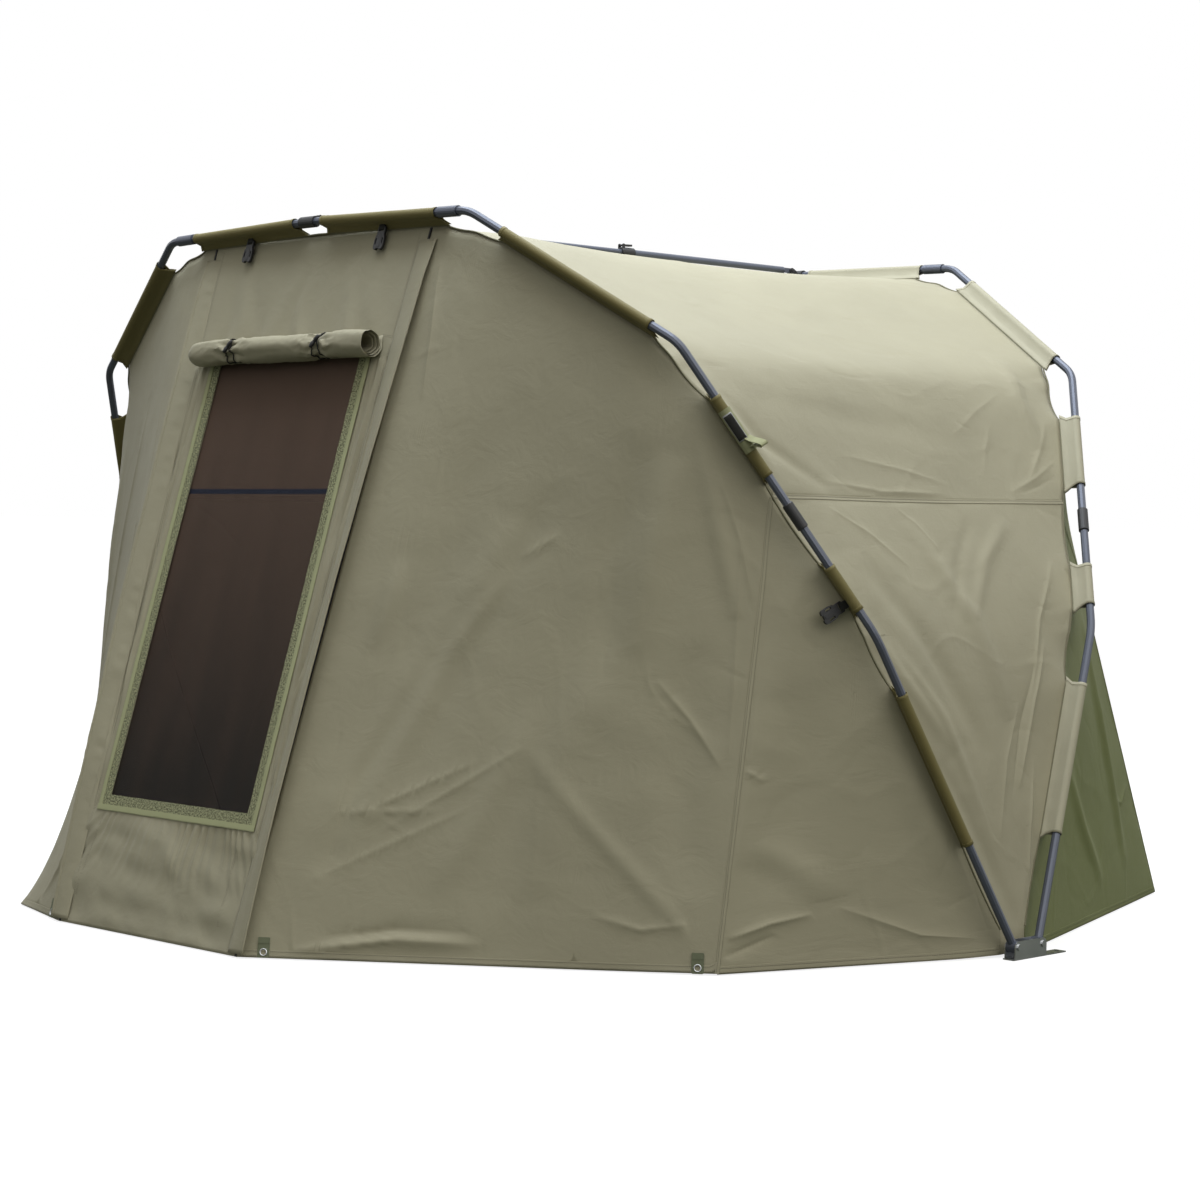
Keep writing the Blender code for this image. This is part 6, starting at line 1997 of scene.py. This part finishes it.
class BIVVY_OT_peg_tabs(bpy.types.Operator):
    """Sews the webbing tabs with their eyelets along the foot of the tent"""

    bl_idname = "bivvy.peg_tabs"
    bl_label = "Peg tabs"

    def execute(self, context):
        for where, body in (("front", "front_frame"), ("side", "front_frame"), ("rear", "rear_shelter")):
            for side in SIDES.values():
                node = f"{where}_peg_tab_{side}"
                matrix, (half_x, half_y, half_z) = facing(node)
                eye_y = EYE_RISE - half_y
                round_eye = spokes(Vector((EYE_RADIUS, 0)), Vector((0, EYE_RADIUS)), 24)
                hole = [Vector((0, eye_y)) + spoke for spoke in round_eye]
                low = Matrix.Translation((0, 0, -half_z))
                bm = slab(box_round(half_x, half_y, 0.003), half_z * 1.3, low, [hole])
                fold = [(x, y * 0.30 + half_y * 0.70) for x, y in box_round(half_x * 0.98, half_y, 0.002)]
                slab(fold, half_z * 2.1, low, bm=bm)
                bmesh.ops.transform(bm, matrix=matrix, verts=bm.verts)
                tab = piece(f"{node}_web", bm, "tab", body, (node,), smooth=False)
                across, up, _ = (matrix.to_3x3().col[i] for i in range(3))
                lay_uv(tab, up, across)
                grommet = ring(matrix @ Matrix.Translation((0, eye_y, 0)), EYE_RADIUS + 0.0012, half_z * 1.5)
                piece(f"{node}_eyelet", grommet, "steel", body, (node,))
        return {"FINISHED"}


# The strap's folded tail, as (way out from the rib, way along it)
STRAP_LOOP = (
    (0.0, -0.010), (0.010, 0.001), (0.022, 0.009), (0.031, 0.017), (0.033, 0.022),
    (0.030, 0.025), (0.020, 0.018), (0.009, 0.011), (0.0, 0.010),
)

# The bare label on the strap and its border: name, width, height, rise off the strap and finish
STRAP_LABELS = (
    ("border", 0.0190, 0.0660, 0.0030, "label_edge"),
    ("label", 0.0156, 0.0600, 0.0037, "black_web"),
)


class BIVVY_OT_tie_strap(bpy.types.Operator):
    """Sews the green strap round the right shoulder's sleeve, with its bare label and its folded tail"""

    bl_idname = "bivvy.tie_strap"
    bl_label = "Tie strap"

    def execute(self, context):
        spot = between(SHOULDER, KNEE, STRAP_SHARE)
        run = (KNEE - SHOULDER).normalized()
        _, up, middle = rib_axes(FRONT)
        ends = [spot + run * (STRAP_LENGTH / 2 * sign) for sign in (-1, 1)]
        a, b = (on_rib(FRONT, end.x, end.y) for end in ends)
        along = (b - a).normalized()
        away = Vector((-run.y, 0, 0)) + up * run.x
        front = -middle
        radius = TUBE_RADIUS + SLEEVE_GAP + CANVAS_THICKNESS + STRAP_GAP
        turns = [STRAP_START + STRAP_WRAP * share for share in shares_of(22)]
        section = [(turn, radius) for turn in turns]
        section += [(turn, radius + STRAP_THICKNESS) for turn in reversed(turns)]
        rows = []
        for share in shares_of(30):
            place = a + along * (STRAP_LENGTH * share)
            wave = 0.0006 * stray(share * 6, 1.0, 2.0)
            ways = [(away * cos(turn) + front * sin(turn)) * (far + wave) for turn, far in section]
            rows.append([place + way for way in ways])
        bm = loft(rows, closed=True, caps=True)
        root = b - along * 0.020 + away * (radius + 0.001)
        path = rounded([root + away * out + along * run_on for out, run_on in STRAP_LOOP], 0.003, 3)
        ribbon(spaced(path, 0.0025), front, 0.0105, 0.0007, bm)
        piece("tie_strap_web", bm, "strap", "front_frame", ("tie_strap",))
        out = (away + front).normalized()
        beside = along.cross(out)
        for name, width, height, lift, cloth in STRAP_LABELS:
            bends = [width * (share - 0.5) / radius for share in shares_of(8)]
            ways = [(out * cos(bend) + beside * sin(bend)) * (radius + lift) for bend in bends]
            rows = []
            for share in shares_of(8):
                place = a + along * (LABEL_PLACE + height * (share - 0.5))
                rows.append([place + way for way in ways])
            label = piece(f"tie_strap_{name}", loft(rows), cloth, "front_frame", ("tie_strap",))
            applied(thickened(label, LABEL_THICKNESS))
        return {"FINISHED"}


OPERATORS = (
    BIVVY_OT_stage,
    BIVVY_OT_fittings,
    BIVVY_OT_roof,
    BIVVY_OT_front_walls,
    BIVVY_OT_rear_walls,
    BIVVY_OT_seams,
    BIVVY_OT_hems,
    BIVVY_OT_sleeves,
    BIVVY_OT_door,
    BIVVY_OT_storm_flaps,
    BIVVY_OT_cover_roll,
    BIVVY_OT_roll_toggles,
    BIVVY_OT_buckles,
    BIVVY_OT_peg_tabs,
    BIVVY_OT_tie_strap,
)


class BIVVY_PT_sidebar(bpy.types.Panel):
    """Lists the tent's pieces and settings"""

    bl_label = "Bivvy tent"
    bl_idname = "BIVVY_PT_sidebar"
    bl_space_type = "VIEW_3D"
    bl_region_type = "UI"
    bl_category = "Bivvy"

    def draw(self, context):
        layout = self.layout
        for name in BivvySettings.__annotations__:
            layout.prop(context.scene.bivvy, name)
        for operator in OPERATORS:
            layout.operator(operator.bl_idname)


CLASSES = (BivvySettings, *OPERATORS, BIVVY_PT_sidebar)


def register():
    for made in CLASSES:
        bpy.utils.register_class(made)
    bpy.types.Scene.bivvy = PointerProperty(type=BivvySettings)


def unregister():
    del bpy.types.Scene.bivvy
    for made in reversed(CLASSES):
        bpy.utils.unregister_class(made)


def main():
    register()
    for operator in OPERATORS:
        group, name = operator.bl_idname.split(".")
        getattr(getattr(bpy.ops, group), name)()


if __name__ == "__main__":
    main()
